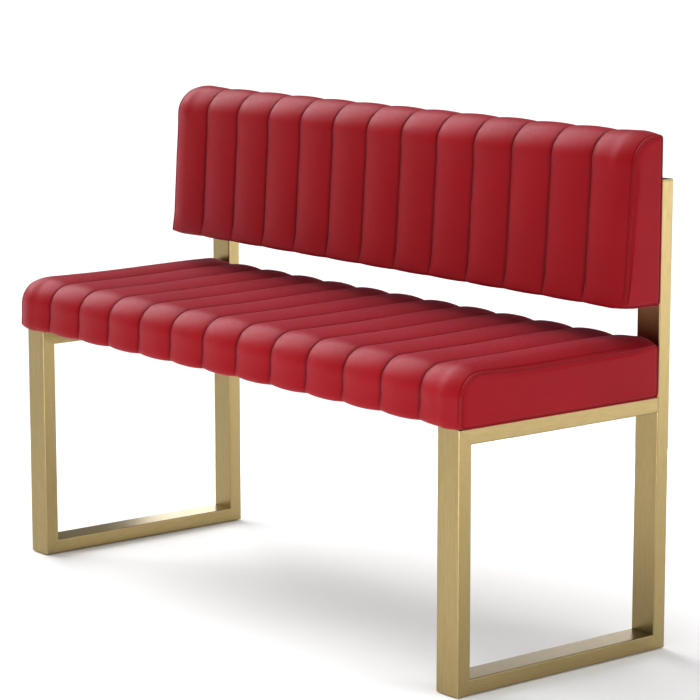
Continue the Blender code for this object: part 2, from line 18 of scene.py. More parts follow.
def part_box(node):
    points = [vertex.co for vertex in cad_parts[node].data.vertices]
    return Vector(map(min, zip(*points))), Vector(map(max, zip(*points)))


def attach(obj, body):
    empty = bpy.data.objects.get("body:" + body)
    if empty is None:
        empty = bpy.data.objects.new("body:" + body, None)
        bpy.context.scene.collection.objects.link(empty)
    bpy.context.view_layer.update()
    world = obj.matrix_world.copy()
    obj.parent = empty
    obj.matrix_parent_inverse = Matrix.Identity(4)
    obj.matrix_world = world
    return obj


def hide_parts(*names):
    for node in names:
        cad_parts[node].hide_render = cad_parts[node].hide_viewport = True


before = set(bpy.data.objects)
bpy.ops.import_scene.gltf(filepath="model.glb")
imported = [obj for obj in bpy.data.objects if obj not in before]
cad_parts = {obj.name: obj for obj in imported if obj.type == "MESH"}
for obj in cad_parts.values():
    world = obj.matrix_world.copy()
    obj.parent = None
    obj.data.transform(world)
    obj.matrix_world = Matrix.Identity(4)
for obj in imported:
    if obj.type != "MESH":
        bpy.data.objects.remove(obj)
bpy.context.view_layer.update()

LOG = logging.getLogger("bench")
BODY = "root"
MILLIMETRE = 0.001

TOUCHING = 1e-6

Colour = tuple[float, float, float]
Point = tuple[float, float, float]


class Side(Enum):
    """The bench's two ends, as the sign of X."""

    LEFT = -1
    RIGHT = 1

    @property
    def word(self) -> str:
        """The side's name as the frame's nodes spell it."""
        return self.name.lower()


class Grain(Enum):
    """The direction that a brushed or sawn surface runs in, as X, Y and Z shares."""

    ALONG_X = (1, 0, 0)
    ALONG_Y = (0, 1, 0)
    ALONG_Z = (0, 0, 1)


ENDS = ("front", "rear")
SEAT_PLACES = tuple(f"seat_{end}_{side.word}" for end in ENDS for side in Side)
BACK_PLACES = tuple(f"back_{row}_{side.word}" for row in ("lower", "upper") for side in Side)


def put_in_scene(name: str, data: bpy.types.ID) -> bpy.types.Object:
    """Makes an object of a mesh, a lamp or a camera and puts it in the scene."""
    made = bpy.data.objects.new(name, data)
    bpy.context.scene.collection.objects.link(made)
    return made


def middle(node: str) -> Vector:
    """The middle of a frame node's box."""
    low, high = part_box(node)
    return (low + high) / 2


# ---------------------------------------------------------------------------------------------- finishes


class Wiring:
    """Short ways to lay out the nodes of one tree."""

    def __init__(self, tree: bpy.types.NodeTree, family: str = "") -> None:
        """Takes the tree.

        Args:
            tree: The tree that the nodes go into.
            family: What the type names of its nodes start with, where it is left out of their kinds.
        """
        self.tree = tree
        self.family = family

    def node(self, kind: str, inputs: dict[str | int, object] | None = None, **settings: object):
        """Adds a node.

        Args:
            kind: The node's type name, without the family.
            inputs: Socket name or number to a value, or to the socket that feeds it.
            settings: Properties of the node itself.

        Returns:
            The new node.
        """
        made = self.tree.nodes.new(self.family + kind)
        for name, value in settings.items():
            setattr(made, name, value)
        for name, value in (inputs or {}).items():
            if isinstance(value, bpy.types.NodeSocket):
                self.tree.links.new(value, made.inputs[name])
            else:
                made.inputs[name].default_value = value
        return made


class Shading(Wiring):
    """Short ways to lay out the shader of one material."""

    def __init__(self, name: str, colour: Colour, roughness: float, metallic: float = 0.0) -> None:
        """Makes the material with its main shader.

        Args:
            name: The material's name.
            colour: Base colour, linear red, green and blue.
            roughness: Main roughness.
            metallic: 1 for a metal and 0 for the rest.
        """
        self.material = bpy.data.materials.new(name)
        self.material.use_nodes = True
        self.material.diffuse_color = (*colour, 1.0)
        super().__init__(self.material.node_tree, "ShaderNode")
        self.shader = self.tree.nodes["Principled BSDF"]
        self.shader.inputs["Base Color"].default_value = (*colour, 1.0)
        self.shader.inputs["Roughness"].default_value = roughness
        self.shader.inputs["Metallic"].default_value = metallic

    def feed(self, name: str, source: bpy.types.NodeSocket) -> None:
        """Joins a socket to an input of the main shader."""
        self.tree.links.new(source, self.shader.inputs[name])

    def places(self, stretch: Point = (1.0, 1.0, 1.0)) -> bpy.types.NodeSocket:
        """Object coordinates multiplied by a scale for each axis.

        Args:
            stretch: Scale along X, Y and Z.

        Returns:
            The socket with the coordinates.
        """
        where = self.node("TexCoord").outputs["Object"]
        return self.node("Mapping", {"Vector": where, "Scale": stretch}).outputs["Vector"]

    def noise(self, where: bpy.types.NodeSocket, scale: float, detail: float = 2.0) -> bpy.types.NodeSocket:
        """A noise value from 0 to 1 at the given coordinates."""
        made = self.node("TexNoise", {"Vector": where, "Scale": scale, "Detail": detail})
        return made.outputs["Fac"]

    def spread(self, value: bpy.types.NodeSocket, low: float, high: float) -> bpy.types.NodeSocket:
        """Turns noise, which mostly lies between 0.3 and 0.7, into numbers between low and high."""
        made = self.node("MapRange", {"Value": value, 1: 0.3, 2: 0.7, 3: low, 4: high})
        return made.outputs["Result"]

    def tint(self, share: object, first: object, second: object) -> bpy.types.NodeSocket:
        """A colour mixed from two.

        Args:
            share: Socket or number, 0 for the first colour and 1 for the second.
            first: Socket or colour.
            second: Socket or colour.

        Returns:
            The socket with the mixed colour.
        """
        colours = [c if isinstance(c, bpy.types.NodeSocket) else (*c, 1.0) for c in (first, second)]
        inputs = {"Factor": share, 6: colours[0], 7: colours[1]}
        return self.node("Mix", inputs, data_type="RGBA").outputs[2]

    def bump(self, height: bpy.types.NodeSocket, depth: float, strength: float, under=None):
        """Adds relief.

        Args:
            height: Socket with the relief's height from 0 to 1.
            depth: Real depth of the relief.
            strength: How much of it shows, from 0 to 1.
            under: Normal of the relief below this one, if there is one.

        Returns:
            The socket with the new normal.
        """
        inputs = {"Height": height, "Distance": depth, "Strength": strength}
        if under is not None:
            inputs["Normal"] = under
        return self.node("Bump", inputs).outputs["Normal"]


@dataclass(frozen=True)
class RedLeather:
    """Fine-grained, semi-matte upholstery leather.

    Two attributes of the mesh change it: "seam" darkens it at its sewn seams, which is painted shade in
    their creases, and "dull" makes it less glossy where it is 1 and darkens it there, which is painted
    shade at the seat's rear under the backrest.
    """

    name: str = "red leather"
    colour: Colour = (0.245, 0.0024, 0.0048)
    worn_colour: Colour = (0.270, 0.0040, 0.0075)
    # Painted shade for the creases of the sewn seams.
    seam_colour: Colour = (0.100, 0.0006, 0.0010)
    # Painted shade for the seat's rear under the backrest.
    dull_colour: Colour = (0.170, 0.0010, 0.0016)
    specular: float = 0.13
    sheen: float = 0.19
    sheen_colour: Colour = (1.0, 0.30, 0.47)
    sheen_roughness: float = 0.36
    dull_roughness: float = 0.85
    shine: Colour = (1.0, 0.50, 0.70)
    roughness: tuple[float, float] = (0.42, 0.52)
    clouds_per_metre: float = 9.0
    rubs_per_metre: float = 160.0
    folds_per_metre: float = 34.0
    pebbles_per_metre: float = 900.0
    pores_per_metre: float = 3200.0
    fold_depth: float = 0.0007
    pebble_depth: float = 0.00016
    pore_depth: float = 0.00005
    fold_strength: float = 0.35
    pebble_strength: float = 0.45
    pore_strength: float = 0.35

    def make(self) -> bpy.types.Material:
        """Builds the material."""
        made = Shading(self.name, self.colour, self.roughness[0])
        made.shader.inputs["Specular IOR Level"].default_value = self.specular
        made.shader.inputs["Specular Tint"].default_value = (*self.shine, 1.0)
        made.shader.inputs["Sheen Weight"].default_value = self.sheen
        made.shader.inputs["Sheen Tint"].default_value = (*self.sheen_colour, 1.0)
        made.shader.inputs["Sheen Roughness"].default_value = self.sheen_roughness
        where = made.places()
        cloudy = made.spread(made.noise(where, self.clouds_per_metre, 3.0), 0.0, 1.0)
        hide = made.tint(cloudy, self.colour, self.worn_colour)
        # Painted shade at the seat's rear under the backrest: this attribute darkens the colour there, and it
        # also raises the roughness.
        dull = made.node("Attribute", attribute_name="dull").outputs["Fac"]
        hide = made.tint(dull, hide, self.dull_colour)
        # Painted shade: the seam attribute darkens the colour along the sewn seams and beside the welts,
        # where their creases are shaded.
        seam = made.node("Attribute", attribute_name="seam").outputs["Fac"]
        made.feed("Base Color", made.tint(seam, hide, self.seam_colour))
        rough = made.spread(made.noise(where, self.rubs_per_metre), *self.roughness)
        rough = made.node("Mix", {"Factor": dull, "A": rough, "B": self.dull_roughness}).outputs["Result"]
        made.feed("Roughness", rough)
        cells = {"Vector": where, "Scale": self.pebbles_per_metre, "Randomness": 1.0}
        pebble = made.node("TexVoronoi", cells, feature="F1").outputs["Distance"]
        folds = made.noise(where, self.folds_per_metre)
        pores = made.noise(where, self.pores_per_metre, 1.0)
        normal = made.bump(folds, self.fold_depth, self.fold_strength)
        normal = made.bump(pebble, self.pebble_depth, self.pebble_strength, normal)
        made.feed("Normal", made.bump(pores, self.pore_depth, self.pore_strength, normal))
        return made.material


@dataclass(frozen=True)
class BrushedBrass:
    """Satin brass with fine brush lines along one axis."""

    grain: Grain
    colour: Colour = (0.372, 0.284, 0.132)
    dark_colour: Colour = (0.288, 0.212, 0.090)
    roughness: tuple[float, float] = (0.27, 0.38)
    lines_per_metre: float = 1500.0
    broad_lines_per_metre: float = 300.0
    broad_share: float = 0.25
    stretch: float = 0.030
    line_depth: float = 0.00003

    def make(self) -> bpy.types.Material:
        """Builds the material."""
        name = f"brushed brass {self.grain.name.lower()}"
        made = Shading(name, self.colour, self.roughness[0], 1.0)
        where = made.places(tuple(self.stretch if share else 1.0 for share in self.grain.value))
        fine = made.noise(where, self.lines_per_metre)
        broad = made.noise(where, self.broad_lines_per_metre)
        even = made.node("Mix", {"Factor": self.broad_share, "A": fine, "B": broad}).outputs["Result"]
        made.feed("Base Color", made.tint(made.spread(even, 0.0, 1.0), self.dark_colour, self.colour))
        made.feed("Roughness", made.spread(even, self.roughness[1], self.roughness[0]))
        made.feed("Normal", made.bump(even, self.line_depth, 0.5))
        return made.material


@dataclass(frozen=True)
class Plywood:
    """Raw birch plywood, with its plies stacked along one axis and its fibres along X."""

    stacked: Grain
    colour: Colour = (0.52, 0.36, 0.20)
    dark_colour: Colour = (0.34, 0.21, 0.10)
    roughness: tuple[float, float] = (0.6, 0.8)
    plies_per_metre: float = 700.0
    fibres_per_metre: float = 260.0
    fibre_stretch: float = 0.06
    ply_stretch: float = 0.01
    contrast: tuple[float, float] = (0.15, 0.40)
    fibre_depth: float = 0.0002

    def make(self) -> bpy.types.Material:
        """Builds the material."""
        made = Shading(f"plywood {self.stacked.name.lower()}", self.colour, self.roughness[0])
        fibre = made.noise(made.places((self.fibre_stretch, 1.0, 1.0)), self.fibres_per_metre, 4.0)
        through = tuple(1.0 if share else self.ply_stretch for share in self.stacked.value)
        plies = made.noise(made.places(through), self.plies_per_metre, 0.0)
        both = made.node("Math", {0: fibre, 1: plies}, operation="MULTIPLY").outputs[0]
        low, high = self.contrast
        share = made.node("MapRange", {"Value": both, 1: low, 2: high}).outputs["Result"]
        made.feed("Base Color", made.tint(share, self.dark_colour, self.colour))
        made.feed("Roughness", made.spread(fibre, *self.roughness))
        made.feed("Normal", made.bump(fibre, self.fibre_depth, 0.4))
        return made.material


@dataclass(frozen=True)
class Speckled:
    """A plain finish whose colour, roughness and relief vary with noise, such as plastic or zinc."""

    name: str
    colour: Colour
    other_colour: Colour
    roughness: tuple[float, float]
    metallic: float = 0.0
    spots_per_metre: float = 600.0
    spots_per_cloud: float = 12.0
    depth: float = 0.00005

    def make(self) -> bpy.types.Material:
        """Builds the material."""
        made = Shading(self.name, self.colour, self.roughness[0], self.metallic)
        where = made.places()
        spots = made.noise(where, self.spots_per_metre, 3.0)
        clouds = made.noise(where, self.spots_per_metre / self.spots_per_cloud)
        made.feed("Base Color", made.tint(made.spread(clouds, 0.0, 1.0), self.colour, self.other_colour))
        made.feed("Roughness", made.spread(spots, *self.roughness))
        made.feed("Normal", made.bump(spots, self.depth, 0.5))
        return made.material


@dataclass(frozen=True)
class NonWoven:
    """Thin black non-woven cloth with a bonded fibre texture."""

    name: str = "non-woven cloth"
    colour: Colour = (0.010, 0.010, 0.011)
    fibre_colour: Colour = (0.035, 0.035, 0.037)
    roughness: float = 0.9
    bonds_per_metre: float = 480.0
    bond_scatter: float = 0.15
    bond_depth: float = 0.00015
    fibres_per_metre: float = 1400.0
    fibre_stretch: float = 0.35
    fibre_depth: float = 0.0001

    def make(self) -> bpy.types.Material:
        """Builds the material."""
        made = Shading(self.name, self.colour, self.roughness)
        fibres = made.noise(made.places((1.0, self.fibre_stretch, 1.0)), self.fibres_per_metre, 3.0)
        cells = {"Vector": made.places(), "Scale": self.bonds_per_metre, "Randomness": self.bond_scatter}
        bonds = made.node("TexVoronoi", cells).outputs["Distance"]
        made.feed("Base Color", made.tint(made.spread(fibres, 0.0, 1.0), self.colour, self.fibre_colour))
        pressed = made.bump(bonds, self.bond_depth, 0.5)
        made.feed("Normal", made.bump(fibres, self.fibre_depth, 0.5, pressed))
        return made.material


BLACK_PLASTIC = Speckled(
    "black plastic", (0.014, 0.014, 0.015), (0.024, 0.024, 0.026), (0.42, 0.60), spots_per_metre=900.0
)
ZINC_STEEL = Speckled(
    "zinc plated steel", (0.56, 0.57, 0.60), (0.44, 0.46, 0.50), (0.24, 0.42), metallic=1.0
)
RED_THREAD = Speckled(
    "red thread", (0.30, 0.010, 0.016), (0.21, 0.006, 0.010), (0.45, 0.62), spots_per_metre=2500.0
)
PALE_FLOOR = Speckled(
    "pale floor", (0.93, 0.93, 0.93), (0.93, 0.93, 0.93), (0.85, 0.95), spots_per_metre=3.0, depth=0.0
)


class Finishes:
    """Makes each finish once and hands it out."""

    def __init__(self) -> None:
        """Starts with nothing made."""
        self.made: dict[object, bpy.types.Material] = {}

    def of(self, finish: object) -> bpy.types.Material:
        """The material of a finish.

        Args:
            finish: A finish that has a make method and can be a dictionary key.

        Returns:
            Its material, made at the first call.
        """
        if finish not in self.made:
            self.made[finish] = finish.make()
        return self.made[finish]


# ------------------------------------------------------------------------------------------ making pieces


class Workshop:
    """Makes pieces and joins them to the frame."""

    def __init__(self) -> None:
        """Starts with its own set of finishes."""
        self.finishes = Finishes()

    def piece(self, name: str, mesh: bpy.types.Mesh, finish: object | None = None) -> bpy.types.Object:
        """Puts a mesh in the scene.

        Args:
            name: The piece's name.
            mesh: Its mesh, in the frame's own places.
            finish: Its finish, or None where the mesh already has materials.

        Returns:
            The new object, at the origin.
        """
        if finish is not None:
            mesh.materials.clear()
            mesh.materials.append(self.finishes.of(finish))
        return put_in_scene(name, mesh)

    def settle(self, piece: bpy.types.Object) -> bpy.types.Object:
        """Turns a piece with modifiers into a plain mesh.

        Args:
            piece: The piece.

        Returns:
            The same object without modifiers.
        """
        bpy.context.view_layer.update()
        graph = bpy.context.evaluated_depsgraph_get()
        mesh = bpy.data.meshes.new_from_object(piece.evaluated_get(graph))
        piece.modifiers.clear()
        piece.data = mesh
        mesh.name = piece.name
        return piece

    def join(self, piece: bpy.types.Object, slot: str, nodes: Iterable[str] = ()) -> bpy.types.Object:
        """Makes a finished piece part of the bench.

        Args:
            piece: The piece.
            slot: The record's material slot; not used.
            nodes: Frame nodes that it stands for.

        Returns:
            The same object.
        """
        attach(piece, BODY)
        nodes = tuple(nodes)
        if nodes:
            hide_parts(*nodes)
        LOG.info("%s: %d faces, stands for %s", piece.name, len(piece.data.polygons), nodes or "nothing")
        return piece

    def bore(self, piece: bpy.types.Object, centre: Point, direction: Point, radius: float,
             depth: float) -> None:
        """Bores a round hole.

        Args:
            piece: The piece to bore.
            centre: A place on the hole's axis, midway through the piece.
            direction: The hole's direction.
            radius: The hole's radius.
            depth: How far the drill reaches to each side of the centre.
        """
        mesh = turned("drill", [(0.0, -depth), (radius, -depth), (radius, depth), (0.0, depth)], 24)
        turn = Vector((0, 0, 1)).rotation_difference(Vector(direction)).to_matrix().to_4x4()
        mesh.transform(Matrix.Translation(centre) @ turn)
        drill = self.piece("drill", mesh)
        cut = piece.modifiers.new("hole", "BOOLEAN")
        cut.operation = "DIFFERENCE"
        cut.solver = "EXACT"
        cut.object = drill
        self.settle(piece)
        bpy.data.objects.remove(drill)

    def softened(self, node: str, finish: object, slot: str, width: float) -> bpy.types.Object:
        """Rebuilds a frame node with rounded edges.

        Args:
            node: The frame node that the piece copies and stands for.
            finish: Its finish.
            slot: The record's material slot.
            width: How far the round reaches from each edge.

        Returns:
            The new piece.
        """
        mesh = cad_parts[node].data.copy()
        work = bmesh.new()
        work.from_mesh(mesh)
        bmesh.ops.remove_doubles(work, verts=work.verts, dist=TOUCHING)
        bmesh.ops.dissolve_limit(work, angle_limit=math.radians(1), verts=work.verts, edges=work.edges)
        bmesh.ops.recalc_face_normals(work, faces=work.faces)
        work.to_mesh(mesh)
        work.free()
        piece = self.piece(node + "_softened", mesh, finish)
        self.crisp(piece, 35.0, width, segments=3, corner_degrees=50.0)
        return self.join(piece, slot, [node])

    def crisp(self, piece: bpy.types.Object, sharp_degrees: float, arris: float = 0.0, segments: int = 2,
              corner_degrees: float = 40.0) -> None:
        """Shades a piece with flat faces and sharp edges, and rounds its corners where asked.

        Args:
            piece: The piece, which ends as a plain mesh.
            sharp_degrees: Least angle between the faces of a sharp edge.
            arris: How far the round reaches from each corner, or 0 for none.
            segments: Faces across the round.
            corner_degrees: Least angle between the faces of a corner that is rounded.
        """
        piece.data.shade_smooth()
        piece.data.set_sharp_from_angle(angle=math.radians(sharp_degrees))
        if arris:
            bevel = piece.modifiers.new("arris", "BEVEL")
            bevel.width = arris
            bevel.segments = segments
            bevel.limit_method = "ANGLE"
            bevel.angle_limit = math.radians(corner_degrees)
        piece.modifiers.new("flat faces", "WEIGHTED_NORMAL").keep_sharp = True
        self.settle(piece)

    def dress(self, node: str, finish: object) -> None:
        """Gives a frame node that stays shown its finish."""
        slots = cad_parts[node].data.materials
        slots.clear()
        slots.append(self.finishes.of(finish))
        LOG.info("%s: dressed", node)


def mesh_of(name: str, points: Sequence[Sequence[float]], faces: Sequence[Sequence[int]]) -> bpy.types.Mesh:
    """A welded mesh with its faces turned outwards and shaded smooth.

    Args:
        name: The mesh's name.
        points: Places of its vertices.
        faces: Vertex numbers of each face.

    Returns:
        The mesh.
    """
    mesh = bpy.data.meshes.new(name)
    mesh.from_pydata([tuple(map(float, point)) for point in points], [], [tuple(f) for f in faces])
    work = bmesh.new()
    work.from_mesh(mesh)
    bmesh.ops.remove_doubles(work, verts=work.verts, dist=TOUCHING)
    bmesh.ops.recalc_face_normals(work, faces=work.faces)
    work.to_mesh(mesh)
    work.free()
    mesh.shade_smooth()
    return mesh


def turned(name: str, profile: Sequence[Sequence[float]], steps: int) -> bpy.types.Mesh:
    """A closed mesh turned about Z.

    Args:
        name: The mesh's name.
        profile: (radius, height) points; a radius of 0 closes that end. A third value of 1 makes that
            ring a hexagon, whose flats lie at the radius.
        steps: Number of steps in a full turn, a multiple of 6 where a ring is a hexagon.

    Returns:
        The mesh.
    """
    points, faces, rings = [], [], []
    for radius, height, *hexagonal in profile:
        start = len(points)
        if radius < 1e-7:
            points.append((0.0, 0.0, height))
            rings.append([start] * steps)
            continue
        for step in range(steps):
            angle = 2 * math.pi * step / steps
            reach = radius
            if hexagonal:
                reach /= math.cos((angle + math.pi / 6) % (math.pi / 3) - math.pi / 6)
            points.append((reach * math.cos(angle), reach * math.sin(angle), height))
        rings.append([start + step for step in range(steps)])
    closed = profile[0][0] > 1e-7 and profile[-1][0] > 1e-7
    pairs = list(zip(rings, rings[1:])) + ([(rings[-1], rings[0])] if closed else [])
    for low, high in pairs:
        for step in range(steps):
            after = (step + 1) % steps
            corners = [low[step], low[after], high[after], high[step]]
            faces.append(list(dict.fromkeys(corners)))
    mesh = mesh_of(name, points, faces)
    mesh.set_sharp_from_angle(angle=math.radians(32))
    return mesh


def path_mesh(name: str, paths: Iterable[tuple[Sequence[Point], bool]]) -> bpy.types.Mesh:
    """A mesh of edges only, for a network to follow.

    Args:
        name: The mesh's name.
        paths: (places, whether the path closes on itself) of each path.

    Returns:
        The mesh.
    """
    points: list[Point] = []
    edges: list[tuple[int, int]] = []
    for places, closed in paths:
        first = len(points)
        points += [tuple(map(float, place)) for place in places]
        count = len(places)
        edges += [(first + n, first + n + 1) for n in range(count - 1)]
        if closed:
            edges.append((first + count - 1, first))
    mesh = bpy.data.meshes.new(name)
    mesh.from_pydata(points, edges, [])
    return mesh


def grid_faces(rows: int, width: int, closes: bool = False) -> list[list[int]]:
    """Faces between points that are numbered row by row.

    Args:
        rows: Number of rows.
        width: Points in each row.
        closes: Whether the last row joins the first.

    Returns:
        Vertex numbers of each face.
    """
    faces = []
    for row in range(rows if closes else rows - 1):
        here, after = row * width, (row + 1) % rows * width
        faces += [[here + n, after + n, after + n + 1, here + n + 1] for n in range(width - 1)]
    return faces


def bead_profile(radius: float, half_height: float, steps: int) -> list[tuple[float, float]]:
    """The profile of a round bead that is turned about Z.

    Args:
        radius: The bead's radius.
        half_height: Half of its height.
        steps: Number of steps from its low to its high end.

    Returns:
        (radius, height) points.
    """
    angles = [math.pi * step / steps for step in range(1, steps)]
    sides = [(radius * math.sin(a), -half_height * math.cos(a)) for a in angles]
    return [(0.0, -half_height), *sides, (0.0, half_height)]


def worked(name: str, work: bmesh.types.BMesh) -> bpy.types.Mesh:
    """Ends the work on a mesh and hands it over."""
    mesh = bpy.data.meshes.new(name)
    work.to_mesh(mesh)
    work.free()
    return mesh


def slab(work: bmesh.types.BMesh, low: Vector, high: Vector) -> None:
    """Adds a box between two corners to a mesh that is being made."""
    place = Matrix.Translation((low + high) / 2) @ Matrix.Diagonal((*(high - low), 1.0))
    bmesh.ops.create_cube(work, size=1.0, matrix=place)


# ----------------------------------------------------------------------------------------- node networks


class Network(Wiring):
    """A Geometry Nodes tree that is built, used on an object and turned into plain mesh."""

    def __init__(self, name: str) -> None:
        """Makes an empty tree with a geometry input and output."""
        super().__init__(bpy.data.node_groups.new(name, "GeometryNodeTree"))
        self.tree.interface.new_socket("Geometry", in_out="INPUT", socket_type="NodeSocketGeometry")
        self.tree.interface.new_socket("Geometry", in_out="OUTPUT", socket_type="NodeSocketGeometry")
        self.entry = self.tree.nodes.new("NodeGroupInput")
        self.exit = self.tree.nodes.new("NodeGroupOutput")
        self.names: dict[str, str] = {}

    def given(self, name: str, kind: str = "Float") -> bpy.types.NodeSocket:
        """Adds a named input.

        Args:
            name: The input's name.
            kind: Float, Int, Object or Material.

        Returns:
            The socket inside the tree.
        """
        made = self.tree.interface.new_socket(name, in_out="INPUT", socket_type="NodeSocket" + kind)
        self.names[name] = made.identifier
        return self.entry.outputs[name]

    def math(self, operation: str, first: object, second: object) -> bpy.types.NodeSocket:
        """One sum on two numbers or sockets."""
        return self.node("ShaderNodeMath", {0: first, 1: second}, operation=operation).outputs[0]

    def end(self, geometry: bpy.types.NodeSocket, material: bpy.types.NodeSocket) -> None:
        """Realizes the instances, sets the material and joins the result to the output."""
        real = self.node("GeometryNodeRealizeInstances", {"Geometry": geometry}).outputs[0]
        dressed = self.node("GeometryNodeSetMaterial", {"Geometry": real, "Material": material})
        self.tree.links.new(dressed.outputs[0], self.exit.inputs[0])

    def apply(self, shop: Workshop, piece: bpy.types.Object, **values: object) -> bpy.types.Object:
        """Runs the tree on an object and keeps the plain mesh.

        Args:
            shop: The workshop that settles the piece.
            piece: The object whose mesh the tree reads.
            values: Input name, with underscores for spaces, to its value.

        Returns:
            The same object, with the made mesh.
        """
        modifier = piece.modifiers.new("network", "NODES")
        modifier.node_group = self.tree
        for name, value in values.items():
            modifier[self.names[name.replace("_", " ")]] = value
        return shop.settle(piece)


class CopiesNetwork(Network):
    """Copies of one small piece, at each vertex or evenly spaced along paths and turned to follow them."""

    def __init__(self, follows_paths: bool) -> None:
        """Builds the tree.

        Args:
            follows_paths: Whether the copies are spaced along paths.
        """
        super().__init__("copies along paths" if follows_paths else "copies at spots")
        where = {"Points": self.entry.outputs[0]}
        if follows_paths:
            pitch = self.given("Pitch")
            curve = self.node("GeometryNodeMeshToCurve", {"Mesh": self.entry.outputs[0]}).outputs[0]
            spaced = self.node("GeometryNodeCurveToPoints", {"Curve": curve, "Length": pitch}, mode="LENGTH")
            where = {"Points": spaced.outputs["Points"], "Rotation": spaced.outputs["Rotation"]}
        source = {"Object": self.given("Copy", "Object"), "As Instance": True}
        copy = self.node("GeometryNodeObjectInfo", source).outputs["Geometry"]
        placed = self.node("GeometryNodeInstanceOnPoints", {**where, "Instance": copy})
        self.end(placed.outputs[0], self.given("Finish", "Material"))

    def lay(self, shop: Workshop, name: str, paths: Iterable[tuple[Sequence[Point], bool]],
            copied: bpy.types.Mesh, finish: object, slot: str, nodes: Iterable[str] = (),
            **sizes: float) -> None:
        """Makes one piece of all the copies.

        Args:
            shop: The workshop that makes the piece.
            name: The piece's name.
            paths: (places, whether the path closes on itself) of each path, or of each single spot.
            copied: The mesh to copy.
            finish: Its finish.
            slot: The record's material slot.
            nodes: Frame nodes that the piece stands for.
            sizes: The tree's own sizes.
        """
        copy = shop.piece("copy", copied)
        piece = shop.piece(name, path_mesh(name, paths))
        self.apply(shop, piece, Copy=copy, Finish=shop.finishes.of(finish), **sizes)
        bpy.data.objects.remove(copy)
        shop.join(piece, slot, nodes)


class TubeNetwork(Network):
    """A hollow rectangular tube along Z from 0, whose ends can be mitred at 45 degrees away from +Y."""

    def __init__(self) -> None:
        """Builds the tree."""
        super().__init__("mitred tube")
        names = ("Length", "Width", "Depth", "Wall", "Corner", "Bore Corner", "Low Mitre", "High Mitre")
        size = {name: self.given(name) for name in names}
        steps = self.given("Corner Steps", "Int")
        finish = self.given("Finish", "Material")
        outer = self.outline(size["Width"], size["Depth"], size["Corner"], steps)
        wall = self.math("MULTIPLY", size["Wall"], 2.0)
        bore = self.outline(
            self.math("SUBTRACT", size["Width"], wall),
            self.math("SUBTRACT", size["Depth"], wall),
            size["Bore Corner"],
            steps,
        )
        rings = self.node("GeometryNodeJoinGeometry")
        self.tree.links.new(outer, rings.inputs[0])
        self.tree.links.new(bore, rings.inputs[0])
        wall_end = self.node("GeometryNodeFillCurve", {"Curve": rings.outputs[0]}, mode="TRIANGLES")
        upwards = self.node("ShaderNodeCombineXYZ", {"Z": size["Length"]}).outputs[0]
        raised = self.node(
            "GeometryNodeExtrudeMesh",
            {"Mesh": wall_end.outputs[0], "Offset": upwards, "Individual": False},
            mode="FACES",
        )
        turned_over = self.node("GeometryNodeFlipFaces", {"Mesh": wall_end.outputs[0]})
        whole = self.node("GeometryNodeJoinGeometry")
        self.tree.links.new(raised.outputs["Mesh"], whole.inputs[0])
        self.tree.links.new(turned_over.outputs[0], whole.inputs[0])
        closed = self.node(
            "GeometryNodeMergeByDistance", {"Geometry": whole.outputs[0], "Distance": TOUCHING}
        ).outputs[0]
        self.end(self.mitred(closed, size), finish)

    def outline(self, width: object, depth: object, radius: object, steps: object) -> bpy.types.NodeSocket:
        """A rounded rectangle about the origin.

        Args:
            width: Size along X.
            depth: Size along Y.
            radius: Corner radius.
            steps: Points in each corner.

        Returns:
            The socket with the curve.
        """
        plain = self.node("GeometryNodeCurvePrimitiveQuadrilateral", {"Width": width, "Height": depth})
        return self.node(
            "GeometryNodeFilletCurve",
            {"Curve": plain.outputs[0], "Radius": radius, "Count": steps},
            mode="POLY",
        ).outputs[0]

    def mitred(self, tube: bpy.types.NodeSocket, size: dict) -> bpy.types.NodeSocket:
        """Slides the ends' points along Z by how far they lie from the outer side.

        Args:
            tube: The square-ended tube.
            size: The tree's named sizes.

        Returns:
            The socket with the mitred tube.
        """
        position = self.node("GeometryNodeInputPosition").outputs[0]
        place = self.node("ShaderNodeSeparateXYZ", {"Vector": position})
        half_depth = self.math("MULTIPLY", size["Depth"], 0.5)
        half_length = self.math("MULTIPLY", size["Length"], 0.5)
        inwards = self.math("SUBTRACT", half_depth, place.outputs["Y"])
        is_high = self.math("GREATER_THAN", place.outputs["Z"], half_length)
        is_low = self.math("SUBTRACT", 1.0, is_high)
        rise = self.math("MULTIPLY", self.math("MULTIPLY", is_low, size["Low Mitre"]), inwards)
        fall = self.math("MULTIPLY", self.math("MULTIPLY", is_high, size["High Mitre"]), inwards)
        shift = self.math("SUBTRACT", rise, fall)
        offset = self.node("ShaderNodeCombineXYZ", {"Z": shift}).outputs[0]
        return self.node("GeometryNodeSetPosition", {"Geometry": tube, "Offset": offset}).outputs[0]


# --------------------------------------------------------------------------------------------- tube frame


def placed(x_axis: Point, y_axis: Point, z_axis: Point, origin: Sequence[float]) -> Matrix:
    """The matrix that puts local x, y and z along the given directions, at the origin."""
    turn = Matrix((x_axis, y_axis, z_axis)).transposed()
    return Matrix.Translation(origin) @ turn.to_4x4()


